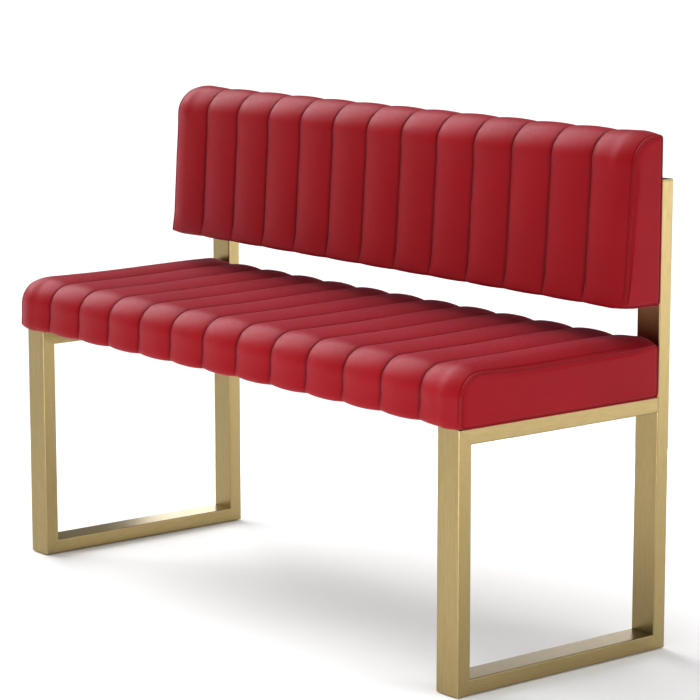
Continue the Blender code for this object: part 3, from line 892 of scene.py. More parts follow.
@dataclass
class TubeFrame:
    """The two side frames, the cross rails, the caps and the glides."""

    shop: Workshop
    wall: float = 0.0015
    corner: float = 0.002
    bore_corner: float = 0.0005
    corner_steps: int = 6
    arris: float = 0.0002
    cap_arris: float = 0.0005
    cap_plug_clearance: float = 0.0004
    sharp_degrees: float = 28.0
    glide_edge: float = 0.0005
    glide_clearance: float = 0.0003
    hole_radius: float = 0.0033
    network: TubeNetwork = field(default_factory=TubeNetwork)

    def build(self) -> None:
        """Makes every tube in place of its plain node."""
        for side in Side:
            self.side_frame(side)
        for end in ENDS:
            self.cross_rail(end)
        self.glides()

    def tube(self, node: str, grain: Grain, place: Matrix, length: float, mitres: tuple[int, int],
             holes: Sequence[tuple[Point, Point]] = ()) -> None:
        """Makes one tube.

        Args:
            node: The frame node that it stands for, which is also its name.
            grain: Direction of its brushing.
            place: Matrix that puts its local frame in the bench.
            length: Length of its outer side.
            mitres: 1 or 0 for its low and its high end.
            holes: (centre, direction) of each bored hole, in the bench's frame.
        """
        low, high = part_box(node)
        sizes = sorted(high - low)
        start = path_mesh(node, [([(0.0, 0.0, 0.0)], False)])
        piece = self.shop.piece(node + "_brushed", start)
        self.network.apply(
            self.shop,
            piece,
            Length=length,
            Width=sizes[1],
            Depth=sizes[0],
            Wall=self.wall,
            Corner=self.corner,
            Bore_Corner=self.bore_corner,
            Low_Mitre=float(mitres[0]),
            High_Mitre=float(mitres[1]),
            Corner_Steps=self.corner_steps,
            Finish=self.shop.finishes.of(BrushedBrass(grain)),
        )
        piece.data.transform(place)
        for centre, direction in holes:
            self.shop.bore(piece, centre, direction, self.hole_radius, sizes[0])
        self.shop.crisp(piece, self.sharp_degrees, self.arris)
        self.shop.join(piece, "brushed_brass", [node])

    def side_frame(self, side: Side) -> None:
        """Makes the four tubes and the cap of one side.

        Args:
            side: Which side.
        """
        name = side.word
        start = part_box(f"{name}_front_leg")[0].y
        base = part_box(f"{name}_foot_rail")[0].z
        rail_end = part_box(f"{name}_seat_rail")[1]
        up_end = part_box(f"{name}_rear_upright")[1]
        leg, foot, rail, upright = (
            middle(f"{name}_{part}") for part in ("front_leg", "foot_rail", "seat_rail", "rear_upright")
        )
        x = leg.x
        bolts = [middle(place + "_bolt").z for place in BACK_PLACES if name in place]
        self.tube(
            f"{name}_front_leg",
            Grain.ALONG_Z,
            placed((-1, 0, 0), (0, -1, 0), (0, 0, 1), (x, leg.y, base)),
            rail_end.z - base,
            (1, 1),
        )
        self.tube(
            f"{name}_foot_rail",
            Grain.ALONG_Y,
            placed((1, 0, 0), (0, 0, -1), (0, 1, 0), (x, start, foot.z)),
            up_end.y - start,
            (1, 1),
        )
        self.tube(
            f"{name}_rear_upright",
            Grain.ALONG_Z,
            placed((1, 0, 0), (0, 1, 0), (0, 0, 1), (x, upright.y, base)),
            up_end.z - base,
            (1, 0),
            [((x, upright.y, height), (0, 1, 0)) for height in bolts],
        )
        self.tube(
            f"{name}_seat_rail",
            Grain.ALONG_Y,
            placed((-1, 0, 0), (0, 0, 1), (0, 1, 0), (x, start, rail.z)),
            rail_end.y - start,
            (1, 0),
        )
        self.cap(f"{name}_upright_cap")

    def cross_rail(self, end: str) -> None:
        """Makes the front or the rear cross rail.

        Args:
            end: "front" or "rear".
        """
        low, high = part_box(f"{end}_cross_rail")
        centre = (low + high) / 2
        bolts = [middle(place + "_bolt").x for place in SEAT_PLACES if end in place]
        holes = [((x, centre.y, centre.z), (0, 0, 1)) for x in bolts]
        self.tube(
            f"{end}_cross_rail",
            Grain.ALONG_X,
            placed((0, 1, 0), (0, 0, 1), (1, 0, 0), (low.x, centre.y, centre.z)),
            high.x - low.x,
            (0, 0),
            holes,
        )

    def cap(self, node: str) -> None:
        """Makes the plate that closes an upright, with softened edges and its plug.

        Args:
            node: The frame node that it stands for.
        """
        low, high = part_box(node)
        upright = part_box(node.replace("upright_cap", "rear_upright"))[1].z
        work = bmesh.new()
        slab(work, Vector((low.x, low.y, upright)), high)
        rises = {edge: abs(edge.verts[0].co.z - edge.verts[1].co.z) for edge in work.edges}
        corners = [edge for edge, rise in rises.items() if rise > TOUCHING]
        bmesh.ops.bevel(
            work, geom=corners, offset=self.corner, segments=self.corner_steps,
            affect="EDGES", profile=0.5,
        )
        rim = [e for e in work.edges if abs(e.verts[0].co.z - e.verts[1].co.z) < TOUCHING]
        rim = [e for e in rim if len(e.link_faces) == 2 and abs(e.calc_face_angle(0.0)) > 1.0]
        bmesh.ops.bevel(work, geom=rim, offset=self.cap_arris, segments=3, affect="EDGES", profile=0.5)
        inset = self.wall + self.cap_plug_clearance
        inwards = Vector((inset, inset, 0.0))
        slab(work, low + inwards, Vector((high.x, high.y, upright)) - inwards)
        piece = self.shop.piece(node + "_plate", worked(node, work), BrushedBrass(Grain.ALONG_X))
        self.shop.crisp(piece, self.sharp_degrees)
        self.shop.join(piece, "brushed_brass", [node])

    def glides(self) -> None:
        """Makes the four floor glides, each a disc with a round edge and a stem."""
        nodes = [f"{side.word}_{end}_glide" for side in Side for end in ENDS]
        low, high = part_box(nodes[0])
        radius, stem, edge = (high.x - low.x) / 2, self.hole_radius, self.glide_edge
        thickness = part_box("left_foot_rail")[0].z - low.z - self.glide_clearance
        angles = [math.pi / 8 * step for step in range(5)]
        profile = [
            (0.0, 0.0),
            *[(radius - edge * (1 - math.sin(a)), edge * (1 - math.cos(a))) for a in angles],
            (radius, thickness), (stem, thickness), (stem, high.z), (0.0, high.z),
        ]
        spots = [([(middle(node).x, middle(node).y, 0.0)], False) for node in nodes]
        CopiesNetwork(False).lay(
            self.shop, "floor_glides", spots, turned("glide", profile, 40), BLACK_PLASTIC, "black_plastic",
            nodes,
        )


@dataclass
class WeldBeads:
    """The rippled fillet welds that hold the cross rails to the side frames, below and at both sides."""

    shop: Workshop
    pitch: float = 0.0016
    radius: float = 0.0021
    flatness: float = 0.55
    corner: float = 0.002

    def build(self) -> None:
        """Lays the beads."""
        rows = []
        for end in ENDS:
            low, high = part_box(f"{end}_cross_rail")
            for x in (low.x, high.x):
                rows.append(([
                    (x, low.y, high.z - self.corner), (x, low.y, low.z + self.corner),
                    (x, low.y + self.corner, low.z), (x, high.y - self.corner, low.z),
                    (x, high.y, low.z + self.corner), (x, high.y, high.z - self.corner),
                ], False))
        ripple = turned("ripple", bead_profile(self.radius, self.flatness * self.radius, 6), 10)
        CopiesNetwork(True).lay(
            self.shop, "weld_beads", rows, ripple, BrushedBrass(Grain.ALONG_X), "brushed_brass",
            Pitch=self.pitch,
        )


# ---------------------------------------------------------------------------------------------- fasteners


@dataclass
class Fasteners:
    """Button-head bolts and washers under the seat and behind the backrest, and the T-nuts inside."""

    shop: Workshop
    shank_radius: float = 0.003
    socket_flats: float = 0.004
    socket_depth: float = 0.002
    socket_edge: float = 0.0002
    point: float = 0.0008
    dome_share: float = 0.8
    washer_bore: float = 0.0033
    edge: float = 0.0003
    spacer_edge: float = 0.0006
    turn_steps: int = 36
    network: CopiesNetwork = field(default_factory=lambda: CopiesNetwork(False))

    def build(self) -> None:
        """Makes every fastener and the spacers between the uprights and the backrest."""
        sets = (("seat", SEAT_PLACES, Vector((0, 0, 1))), ("back", BACK_PLACES, Vector((0, -1, 0))))
        for name, places, direction in sets:
            self.bolts(f"{name}_bolts", places, direction)
        for name, places, direction in sets:
            self.washers(f"{name}_washers", places, direction)
        for place in SEAT_PLACES + BACK_PLACES:
            self.shop.dress(f"{place}_t_nut", ZINC_STEEL)
        for place in BACK_PLACES:
            self.shop.softened(f"{place}_spacer", BLACK_PLASTIC, "black_plastic", self.spacer_edge)

    def bolts(self, name: str, places: Sequence[str], direction: Vector) -> None:
        """Makes one set of bolts.

        Args:
            name: The piece's name.
            places: Start of each bolt's node name.
            direction: From the head to the point.
        """
        low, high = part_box(places[0] + "_bolt")
        across = (high.x - low.x) / 2
        length = abs((high - low).dot(direction))
        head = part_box(places[0] + "_washer")
        tip = max(low.dot(direction), high.dot(direction))
        seat_of_head = min(head[0].dot(direction), head[1].dot(direction))
        head_height = length - (tip - seat_of_head)
        angles = [math.radians(degrees) for degrees in (68, 50, 32, 16, 0)]
        dome = [(across * math.cos(a), head_height * (1 - math.sin(a)) * self.dome_share) for a in angles]
        flats, shank, point = self.socket_flats / 2, self.shank_radius, self.point
        profile = [
            (0.0, self.socket_depth), (flats, self.socket_depth, 1), (flats, self.socket_edge, 1),
            (flats + self.socket_edge, 0.0, 1), *dome,
            (across, head_height - self.edge), (across - self.edge, head_height),
            (shank, head_height), (shank, length - point), (shank - point, length), (0.0, length),
        ]
        self.copies(name, "_bolt", turned(name, profile, self.turn_steps), places, direction)

    def washers(self, name: str, places: Sequence[str], direction: Vector) -> None:
        """Makes one set of washers.

        Args:
            name: The piece's name.
            places: Start of each washer's node name.
            direction: The bolts' direction.
        """
        low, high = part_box(places[0] + "_washer")
        radius = (high.x - low.x) / 2
        thick = abs((high - low).dot(direction))
        edge = self.edge
        profile = [
            (self.washer_bore, 0.0), (radius - edge, 0.0), (radius, edge), (radius, thick - edge),
            (radius - edge, thick), (self.washer_bore, thick),
        ]
        self.copies(name, "_washer", turned(name, profile, self.turn_steps), places, direction)

    def copies(self, name: str, ending: str, mesh: bpy.types.Mesh, places: Sequence[str],
               direction: Vector) -> None:
        """Puts a copy of a mesh at each place.

        Args:
            name: The piece's name.
            ending: End of each node's name.
            mesh: The mesh, whose +Z runs along the direction from the node's near end.
            places: Start of each node's name.
            direction: The direction that +Z is turned to.
        """
        mesh.transform(Vector((0, 0, 1)).rotation_difference(direction).to_matrix().to_4x4())
        nodes = [place + ending for place in places]
        low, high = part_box(nodes[0])
        reach = abs((high - low).dot(direction)) / 2
        spots = [([middle(node) - direction * reach], False) for node in nodes]
        self.network.lay(self.shop, name, spots, mesh, ZINC_STEEL, "zinc_steel", nodes)


# ------------------------------------------------------------------------------------------ sewn cushions


@dataclass
class Stitches:
    """Rows of short thread stitches."""

    shop: Workshop
    pitch: float = 0.0036
    half_length: float = 0.00125
    radius: float = 0.00036

    def lay(self, name: str, rows: list[tuple[list[Vector], bool]]) -> None:
        """Makes one piece with all the rows.

        Args:
            name: The piece's name.
            rows: (places, whether the row closes on itself) of each row.
        """
        thread = turned("stitch", bead_profile(self.radius, self.half_length, 4), 6)
        thread.shade_smooth()
        CopiesNetwork(True).lay(
            self.shop, name, rows, thread, RED_THREAD, "red_leather", Pitch=self.pitch
        )


@dataclass(frozen=True)
class Station:
    """A corner, or with a radius of 0 a place on a straight run, of a cushion's side outline.

    Attributes:
        y: Place across the bench.
        z: Height.
        radius: Radius of the corner.
        seam_sink: How far a channel's seam lies inside the outline.
        crest_rise: How far the middle of a channel stands outside it.
        end_sink: How far the end seam lies inside it.
    """

    y: float
    z: float
    radius: float
    seam_sink: float
    crest_rise: float
    end_sink: float


@dataclass(frozen=True)
class Path:
    """A side outline, sampled: one row of each array for each row of the cover's mesh."""

    place: np.ndarray
    normal: np.ndarray
    seam_sink: np.ndarray
    crest_rise: np.ndarray
    end_sink: np.ndarray
    corners: tuple[int, int, int, int]


class Outline:
    """Turns stations into a path with more rows where the outline bends."""

    FINE_STEP = 0.0004
    BEND_WEIGHT = 0.016

    def __init__(self, stations: Sequence[Station], counts: tuple[int, int]) -> None:
        """Samples the outline.

        Args:
            stations: The stations anticlockwise seen from +X, of which four have a radius: the first is
                one of those four.
            counts: Rows in the first and third side, and rows in the second and fourth, where a side
                runs between the middles of two corners that have a radius.
        """
        self.stations = stations
        self.counts = (counts[0], counts[1], counts[0], counts[1])

    def fine(self) -> tuple[np.ndarray, list[int]]:
        """Samples the outline in very small steps.

        Returns:
            Rows of y, z, normal y, normal z, bend, seam sink, crest rise and end sink, and the row
            numbers of the middles of the four corners.
        """
        pieces, middles, marks = [], [], []
        count = len(self.stations)
        spots = [Vector((s.y, s.z)) for s in self.stations]
        ends = []
        for index, station in enumerate(self.stations):
            back = (spots[index - 1] - spots[index]).normalized()
            ahead = (spots[(index + 1) % count] - spots[index]).normalized()
            half = back.angle(ahead) / 2
            reach = station.radius / math.tan(half) if station.radius else 0.0
            ends.append((spots[index] + back * reach, spots[index] + ahead * reach, half))
        for index, station in enumerate(self.stations):
            start, finish, half = ends[index]
            if station.radius:
                inwards = ((start + finish) / 2 - spots[index]).normalized()
                centre = spots[index] + inwards * station.radius / math.sin(half)
                sweep = math.pi - 2 * half
                steps = max(8, int(station.radius * sweep / self.FINE_STEP))
                arm = start - centre
                for step in range(steps):
                    turn = Matrix.Rotation(sweep * step / steps, 2)
                    outwards = (turn @ arm).normalized()
                    spot = centre + outwards * station.radius
                    pieces.append((spot.x, spot.y, outwards.x, outwards.y, 1 / station.radius))
                    if step == steps // 2:
                        middles.append(len(pieces) - 1)
                        marks.append((len(pieces) - 1, station))
            else:
                marks.append((len(pieces), station))
            target = ends[(index + 1) % count][0]
            run = target - finish
            steps = max(2, int(run.length / self.FINE_STEP))
            outwards = Vector((run.y, -run.x)).normalized()
            for step in range(steps):
                spot = finish + run * step / steps
                pieces.append((spot.x, spot.y, outwards.x, outwards.y, 0.0))
        rows = np.array(pieces)
        sinks = self.blended(rows, marks)
        return np.hstack([rows, sinks]), middles

    @staticmethod
    def blended(rows: np.ndarray, marks: list[tuple[int, Station]]) -> np.ndarray:
        """Carries the sinks smoothly from each station to the next.

        Args:
            rows: The fine samples.
            marks: (row, station) in order along the outline.

        Returns:
            Seam sink, crest rise and end sink of each row.
        """
        steps = np.linalg.norm(np.roll(rows[:, :2], -1, axis=0) - rows[:, :2], axis=1)
        along = np.concatenate([[0.0], np.cumsum(steps)])
        total = along[-1]
        knots = np.array([along[row] for row, _ in marks])
        values = np.array([(s.seam_sink, s.crest_rise, s.end_sink) for _, s in marks])
        made = np.zeros((len(rows), 3))
        for row in range(len(rows)):
            at = along[row]
            after = int(np.searchsorted(knots, at, side="right"))
            before = after - 1
            low = knots[before] - (total if before < 0 else 0.0)
            high = knots[after % len(knots)] + (total if after >= len(knots) else 0.0)
            share = (at - low) / max(high - low, 1e-9)
            share = share * share * (3 - 2 * share)
            made[row] = values[before] * (1 - share) + values[after % len(knots)] * share
        return made

    def path(self) -> Path:
        """Picks the mesh's rows out of the fine samples, closer together round the corners.

        Returns:
            The sampled path, which starts at the first corner's middle.
        """
        rows, middles = self.fine()
        rows = np.roll(rows, -middles[0], axis=0)
        corners = [(middle - middles[0]) % len(rows) for middle in middles] + [len(rows)]
        picked, starts = [], []
        for side, count in enumerate(self.counts):
            first, last = corners[side], corners[side + 1]
            part = rows[first:last]
            weight = np.concatenate([[0.0], np.cumsum(1 + self.BEND_WEIGHT * part[:, 4])])
            wanted = weight[-1] * np.arange(count) / count
            starts.append(len(picked))
            picked += [first + int(np.searchsorted(weight[:-1], want)) for want in wanted]
        chosen = rows[np.array(picked) % len(rows)]
        return Path(chosen[:, :2], chosen[:, 2:4], chosen[:, 5], chosen[:, 6], chosen[:, 7], tuple(starts))


@dataclass(frozen=True)
class Column:
    """One column of a cover's mesh.

    Attributes:
        x: Place along the bench.
        swell: 0 at a sewn seam and 1 on a channel's crest.
        end_share: 0 where the swell starts from a channel seam and 1 where it starts from the end seam.
        lift: How far the welt or its groove stands above the leather.
        seam_distance: Distance to the nearest seam.
        held: Whether the column is sewn down.
    """

    x: float
    swell: float
    end_share: float
    lift: float
    seam_distance: float
    held: bool


@dataclass
class ChannelCushion:
    """A padded leather cover sewn in equal channels, with flat end panels and a welt at each end seam."""

    shop: Workshop
    name: str
    nodes: tuple[str, ...]
    stations: list[Station]
    counts: tuple[int, int]
    half_length: float
    channels: int = 13
    panel_size: int = 0
    panel_inset: float = 0.0020
    panel_crown: float = 0.0022
    start_share: float = 0.66
    most_swell: float = 0.0032
    pressure: float = 4.0
    frames: int = 20
    channel_powers: tuple[float, float] = (2.2, 1.2)
    end_power: float = 2.3
    groove: float = 0.0005
    seam_crease: float = 0.7
    full_depth: float = 0.004
    pucker: float = 0.00045
    pucker_fade: float = 0.006
    pucker_reach: float = 0.02
    # Painted shade beside the channel seams and in the grooves beside the welts.
    seam_shade: float = 0.85
    seam_shade_width: float = 0.0036
    welt_shade: float = 0.8
    welt_shade_place: float = 0.0028
    welt_shade_width: float = 0.0011
    flat_below: float = 0.0004
    # Where the band of painted shade and dullness starts and where it is full, across the bench.
    dull_from: float = 1.0
    dull_to: float = 2.0
    seed: int = 7
    stitch_from_welt: float = 0.0027
    steps: tuple[float, ...] = (0.0014, 0.0036, 0.008, 0.015, 0.024, 0.035)
    end_steps: tuple[float, ...] = (0.0095, 0.0135, 0.019, 0.026, 0.035)
    welt: tuple[tuple[float, float], ...] = (
        (0.0066, 0.0), (0.0046, -0.0001), (0.0034, -0.0006), (0.0027, -0.0009), (0.0020, -0.0004),
        (0.0012, 0.0004), (0.0003, 0.0002),
    )

    @property
    def pitch(self) -> float:
        """Width of a channel."""
        return 2 * self.seam_x / self.channels

    @property
    def seam_x(self) -> float:
        """Distance from the bench's middle to the end seam."""
        return self.half_length - self.panel_inset

    def swell(self, share: float) -> float:
        """Cross-section of a channel: 0 at its seams and 1 in its middle.

        Args:
            share: Place across the channel, from 0 to 1.

        Returns:
            The share of the full swell.
        """
        power, root = self.channel_powers
        return (1 - abs(2 * share - 1) ** power) ** (1 / root)

    def end_swell(self, share: float) -> float:
        """Rise of the outermost half channel, from 0 at the end seam to 1 at its crest."""
        return 1 - (1 - share) ** self.end_power

    def columns(self) -> list[Column]:
        """Every column from the left end seam to the right one."""
        half = self.pitch / 2
        made: list[Column] = []
        for channel in range(self.channels):
            middle = -self.seam_x + self.pitch * (channel + 0.5)
            for side in Side:
                if (channel, side) in ((0, Side.LEFT), (self.channels - 1, Side.RIGHT)):
                    part = self.end_half(middle, side)
                else:
                    part = self.plain_half(middle, side)
                made += part if side is Side.LEFT else part[::-1]
            made.append(Column(middle, 1.0, 0.0, 0.0, half, False))
        unique = {round(column.x, 6): column for column in made}
        return [unique[x] for x in sorted(unique)]

    def plain_half(self, middle: float, side: Side) -> list[Column]:
        """Columns from a channel seam to its crest, seam first."""
        half = self.pitch / 2
        seam = middle + side.value * half
        made = [Column(seam, 0.0, 0.0, 0.0, 0.0, True)]
        for step in self.steps:
            swell = self.swell(step / self.pitch)
            held = step == self.steps[0]
            made.append(Column(seam - side.value * step, swell, 0.0, 0.0, step, held))
        return made

    def end_half(self, middle: float, side: Side) -> list[Column]:
        """Columns from an end seam, over its welt, to the crest of the last channel."""
        half = self.pitch / 2
        seam = middle + side.value * half
        steps = [(step, lift) for step, lift in reversed(self.welt)] + [(s, 0.0) for s in self.end_steps]
        made = []
        for step, lift in steps:
            held = step < self.end_steps[0]
            swell = self.end_swell(step / half)
            made.append(Column(seam - side.value * step, swell, 1.0, lift, step, held))
        return made

    def grid(self, path: Path, columns: list[Column], share: float) -> np.ndarray:
        """Places of the channelled surface.

        Args:
            path: The side outline.
            columns: The columns.
            share: How much of the channels' swell is there.

        Returns:
            Array of rows by columns by 3.
        """
        made = np.zeros((len(path.place), len(columns), 3))
        for index, column in enumerate(columns):
            sink = path.seam_sink * (1 - column.end_share) + path.end_sink * column.end_share
            swell = column.swell * (share if column.end_share == 0.0 else 1.0)
            height = -sink + (sink + path.crest_rise) * swell + column.lift
            made[:, index, 0] = column.x
            made[:, index, 1:] = path.place + path.normal * height[:, None]
        return made

    def end_panel(self, path: Path, side: Side, first: int) -> tuple[list[Point], list[list[int]]]:
        """The flat panel that closes one end, from its welt inwards.

        Args:
            path: The side outline.
            side: Which end.
            first: Number that the panel's first new vertex gets.

        Returns:
            New points, and faces whose negative numbers count the rows of the seam loop from -1.
        """
        across, along = self.counts
        rings = [(step, lift) for step, lift in reversed(self.welt)]
        points: list[Point] = []
        loops: list[list[int]] = [[-1 - row for row in range(len(path.place))]]
        for step, lift in rings:
            height = -(path.end_sink + step)
            spots = path.place + path.normal * height[:, None]
            x = side.value * (self.half_length + lift)
            loops.append([first + len(points) + row for row in range(len(spots))])
            points += [(x, spot[0], spot[1]) for spot in spots]
        inner = loops[-1]
        corners = path.corners
        sides = [inner[corners[0]:corners[1] + 1], inner[corners[1]:corners[2] + 1],
                 inner[corners[2]:corners[3] + 1], inner[corners[3]:] + [inner[0]]]
        bottom, right, top, left = sides[0], sides[1], sides[2][::-1], sides[3][::-1]
        sheet = [[0] * (along + 1) for _ in range(across + 1)]
        spot_of = {number: np.array(points[number - first]) for number in inner}
        for i in range(across + 1):
            for j in range(along + 1):
                if j == 0:
                    sheet[i][j] = bottom[i]
                elif j == along:
                    sheet[i][j] = top[i]
                elif i == 0:
                    sheet[i][j] = left[j]
                elif i == across:
                    sheet[i][j] = right[j]
                else:
                    u, v = i / across, j / along
                    ruled = (1 - v) * spot_of[bottom[i]] + v * spot_of[top[i]]
                    ruled = ruled + (1 - u) * spot_of[left[j]] + u * spot_of[right[j]]
                    corner = (1 - u) * (1 - v) * spot_of[bottom[0]] + u * (1 - v) * spot_of[bottom[-1]]
                    corner = corner + (1 - u) * v * spot_of[top[0]] + u * v * spot_of[top[-1]]
                    spot = ruled - corner
                    crown = (1 - (2 * u - 1) ** 4) * (1 - (2 * v - 1) ** 4)
                    spot[0] = side.value * (self.half_length + self.panel_crown * crown)
                    sheet[i][j] = first + len(points)
                    points.append(tuple(spot))
        faces = []
        count = len(path.place)
        for outer, inner_loop in zip(loops, loops[1:]):
            for row in range(count):
                after = (row + 1) % count
                faces.append([outer[row], outer[after], inner_loop[after], inner_loop[row]])
        for i in range(across):
            for j in range(along):
                faces.append([sheet[i][j], sheet[i + 1][j], sheet[i + 1][j + 1], sheet[i][j + 1]])
        return points, faces

    def build(self) -> None:
        """Makes, inflates and sews the cushion, and puts it in place of its plain nodes."""
        path = Outline(self.stations, self.counts).path()
        columns = self.columns()
        share = self.start_share
        surface = self.grid(path, columns, share)
        rows, width = surface.shape[:2]
        points = [tuple(spot) for spot in surface.reshape(-1, 3)]
        faces = grid_faces(rows, width, closes=True)
        for side in Side:
            column = 0 if side is Side.LEFT else width - 1
            new_points, new_faces = self.end_panel(path, side, len(points))
            self.panel_size = len(new_points)
            points += new_points
            for face in new_faces:
                faces.append([(-1 - n) * width + column if n < 0 else n for n in face])
        mesh = mesh_of(self.name, points, faces)
        piece = self.shop.piece(self.name, mesh, RedLeather())
        held = [1.0] * len(points)
        flat = (path.seam_sink < self.flat_below) & (path.crest_rise < self.flat_below)
        for i in range(rows):
            for j in range(width):
                if not columns[j].held and not flat[i]:
                    held[i * width + j] = 0.0
        self.inflate(piece, held)
        self.mark_seams(piece, path, columns)
        self.sew(piece, path, columns)
        smooth = piece.modifiers.new("smooth", "SUBSURF")
        smooth.levels = smooth.render_levels = 1
        self.shop.settle(piece)
        piece.data.shade_smooth()
        self.shop.join(piece, "red_leather", self.nodes)
        self.stitch(piece, path)

    def stitch(self, piece: bpy.types.Object, path: Path) -> None:
        """Lays the stitches on both sides of each end seam's welt; the channels are sewn from behind.

        Args:
            piece: The finished cover.
            path: The side outline.
        """
        mesh = piece.data
        corners = [vertex.co for vertex in mesh.vertices]
        surface = BVHTree.FromPolygons(corners, [list(face.vertices) for face in mesh.polygons])
        end_rows = []
        for side in Side:
            near, beside = [], []
            for row in range(len(path.place)):
                place, normal = path.place[row], path.normal[row]
                x = side.value * (self.seam_x - self.stitch_from_welt)
                near.append(self.dropped(surface, (x, *place), (0.0, *normal)))
                inner = place - normal * (path.end_sink[row] + self.stitch_from_welt)
                x = side.value * self.half_length
                beside.append(self.dropped(surface, (x, *inner), (float(side.value), 0.0, 0.0)))
            end_rows += [(near, True), (beside, True)]
        Stitches(self.shop).lay(f"{self.name}_end_stitches", end_rows)

    @staticmethod
    def dropped(surface: BVHTree, place: Point, outwards: Point) -> Vector:
        """Drops a place on the cover.

        Args:
            surface: The cover's faces.
            place: A place near the cover.
            outwards: Direction out of the cushion there.

        Returns:
            The place on the cover.
        """
        away = Vector(outwards)
        hit = surface.ray_cast(Vector(place) + away * 0.02, -away, 0.05)[0]
        return hit if hit is not None else Vector(place)

    def inflate(self, piece: bpy.types.Object, held: list[float]) -> None:
        """Blows the cover up between its sewn lines, as foam does, with each point's travel capped.

        Args:
            piece: The cover.
            held: 1 for each vertex that is sewn down and 0 for the rest.
        """
        rest = np.zeros(len(held) * 3, np.float32)
        piece.data.vertices.foreach_get("co", rest)
        group = piece.vertex_groups.new(name="sewn")
        for index, weight in enumerate(held):
            if weight:
                group.add([index], weight, "REPLACE")
        cloth = piece.modifiers.new("inflate", "CLOTH")
        cloth.settings.vertex_group_mass = "sewn"
        cloth.settings.use_pressure = True
        cloth.settings.uniform_pressure_force = self.pressure
        cloth.settings.effector_weights.gravity = 0.0
        cloth.point_cache.frame_start = 1
        cloth.point_cache.frame_end = self.frames
        for number in range(1, self.frames + 1):
            bpy.context.scene.frame_set(number)
        graph = bpy.context.evaluated_depsgraph_get()
        blown = np.zeros(len(held) * 3, np.float32)
        piece.evaluated_get(graph).data.vertices.foreach_get("co", blown)
        piece.modifiers.clear()
        piece.vertex_groups.clear()
        bpy.context.scene.frame_set(1)
        travel = (blown - rest).reshape(-1, 3)
        length = np.linalg.norm(travel, axis=1)
        LOG.info("%s: inflated, mean travel %.2f mm, most %.2f mm", piece.name,
                 length.mean() / MILLIMETRE, length.max() / MILLIMETRE)
        capped = self.most_swell * np.tanh(length / self.most_swell)
        travel *= (capped / np.maximum(length, 1e-9))[:, None]
        piece.data.vertices.foreach_set("co", (rest.reshape(-1, 3) + travel).astype(np.float32).ravel())
        piece.data.update()

    def dark_beside_welt(self, distance: float) -> float:
        """Painted shade beside an end seam: most in the groove, none on the welt's ridge."""
        steps = (distance - self.welt_shade_place) / self.welt_shade_width
        return self.welt_shade * math.exp(-(steps ** 2))

    def dark_beside_channel(self, distance: float) -> float:
        """Painted shade beside a channel's seam, where its crease is shaded."""
        return self.seam_shade * math.exp(-((distance / self.seam_shade_width) ** 2))

    @staticmethod
    def store(mesh: bpy.types.Mesh, name: str, values: np.ndarray, domain: str = "POINT") -> None:
        """Stores a number for each vertex, or with the domain EDGE for each edge."""
        mesh.attributes.new(name, "FLOAT", domain).data.foreach_set("value", values.astype(np.float32))

    def mark_seams(self, piece: bpy.types.Object, path: Path, columns: list[Column]) -> None:
        """Stores the painted shade beside each seam and the band of painted shade and dullness at the seat's
        rear, for the leather, and creases the seams.

        Args:
            piece: The cover.
            path: The side outline.
            columns: The columns.
        """
        mesh, width, rows = piece.data, len(columns), len(path.place)
        # Painted shade in the creases beside each seam, deeper where the seam sinks further into the outline.
        near = np.array([
            self.dark_beside_welt(column.seam_distance) if column.end_share
            else self.dark_beside_channel(column.seam_distance) for column in columns
        ])
        depth = np.clip(path.seam_sink / self.full_depth, 0.0, 1.0)
        marks = np.zeros(len(mesh.vertices))
        marks[:rows * width] = (near * depth[:, None]).ravel()
        rings = np.repeat([self.dark_beside_welt(step) for step, _ in reversed(self.welt)], rows)
        for panel in range(2):
            first = rows * width + panel * self.panel_size
            marks[first:first + len(rings)] = rings
        self.store(mesh, "seam", marks)
        # Painted shade and dullness: a band that rises towards the seat's rear, under the backrest.
        rise = np.clip((path.place[:, 0] - self.dull_from) / (self.dull_to - self.dull_from), 0.0, 1.0)
        dull = np.zeros(len(marks))
        dull[:rows * width] = np.repeat(rise * rise * (3 - 2 * rise), width)
        self.store(mesh, "dull", dull)
        sewn = [number for number, column in enumerate(columns) if column.seam_distance == 0.0]
        pairs = np.zeros(len(mesh.edges) * 2, np.int32)
        mesh.edges.foreach_get("vertices", pairs)
        pairs = pairs.reshape(-1, 2)
        lengthwise = (pairs[:, 0] % width == pairs[:, 1] % width) & (pairs.max(axis=1) < rows * width)
        creased = lengthwise & np.isin(pairs[:, 0] % width, sewn)
        self.store(mesh, "crease_edge", np.where(creased, self.seam_crease, 0.0), "EDGE")

    def sew(self, piece: bpy.types.Object, path: Path, columns: list[Column]) -> None:
        """Pulls the channel seams in and gathers the leather beside them in small puckers.

        Args:
            piece: The cover.
            path: The side outline.
            columns: The columns.
        """
        dice = np.random.default_rng(self.seed)
        width = len(columns)
        rows = len(path.place)
        spots = np.zeros(len(piece.data.vertices) * 3, np.float32)
        piece.data.vertices.foreach_get("co", spots)
        spots = spots.reshape(-1, 3)
        outwards = np.column_stack([np.zeros(rows), path.normal])
        depth = np.clip(path.seam_sink / self.full_depth, 0.0, 1.0)
        for index, column in enumerate(columns):
            rough = dice.normal(size=rows)
            at = np.arange(rows) * width + index
            if column.end_share == 0.0 and column.seam_distance == 0.0:
                spots[at] -= outwards * (self.groove * depth)[:, None]
            fade = math.exp(-column.seam_distance / self.pucker_fade)
            if 0.0 < column.seam_distance < self.pucker_reach and column.end_share == 0.0:
                spots[at] += outwards * (rough * self.pucker * fade * depth)[:, None]
        piece.data.vertices.foreach_set("co", spots.astype(np.float32).ravel())
        piece.data.update()


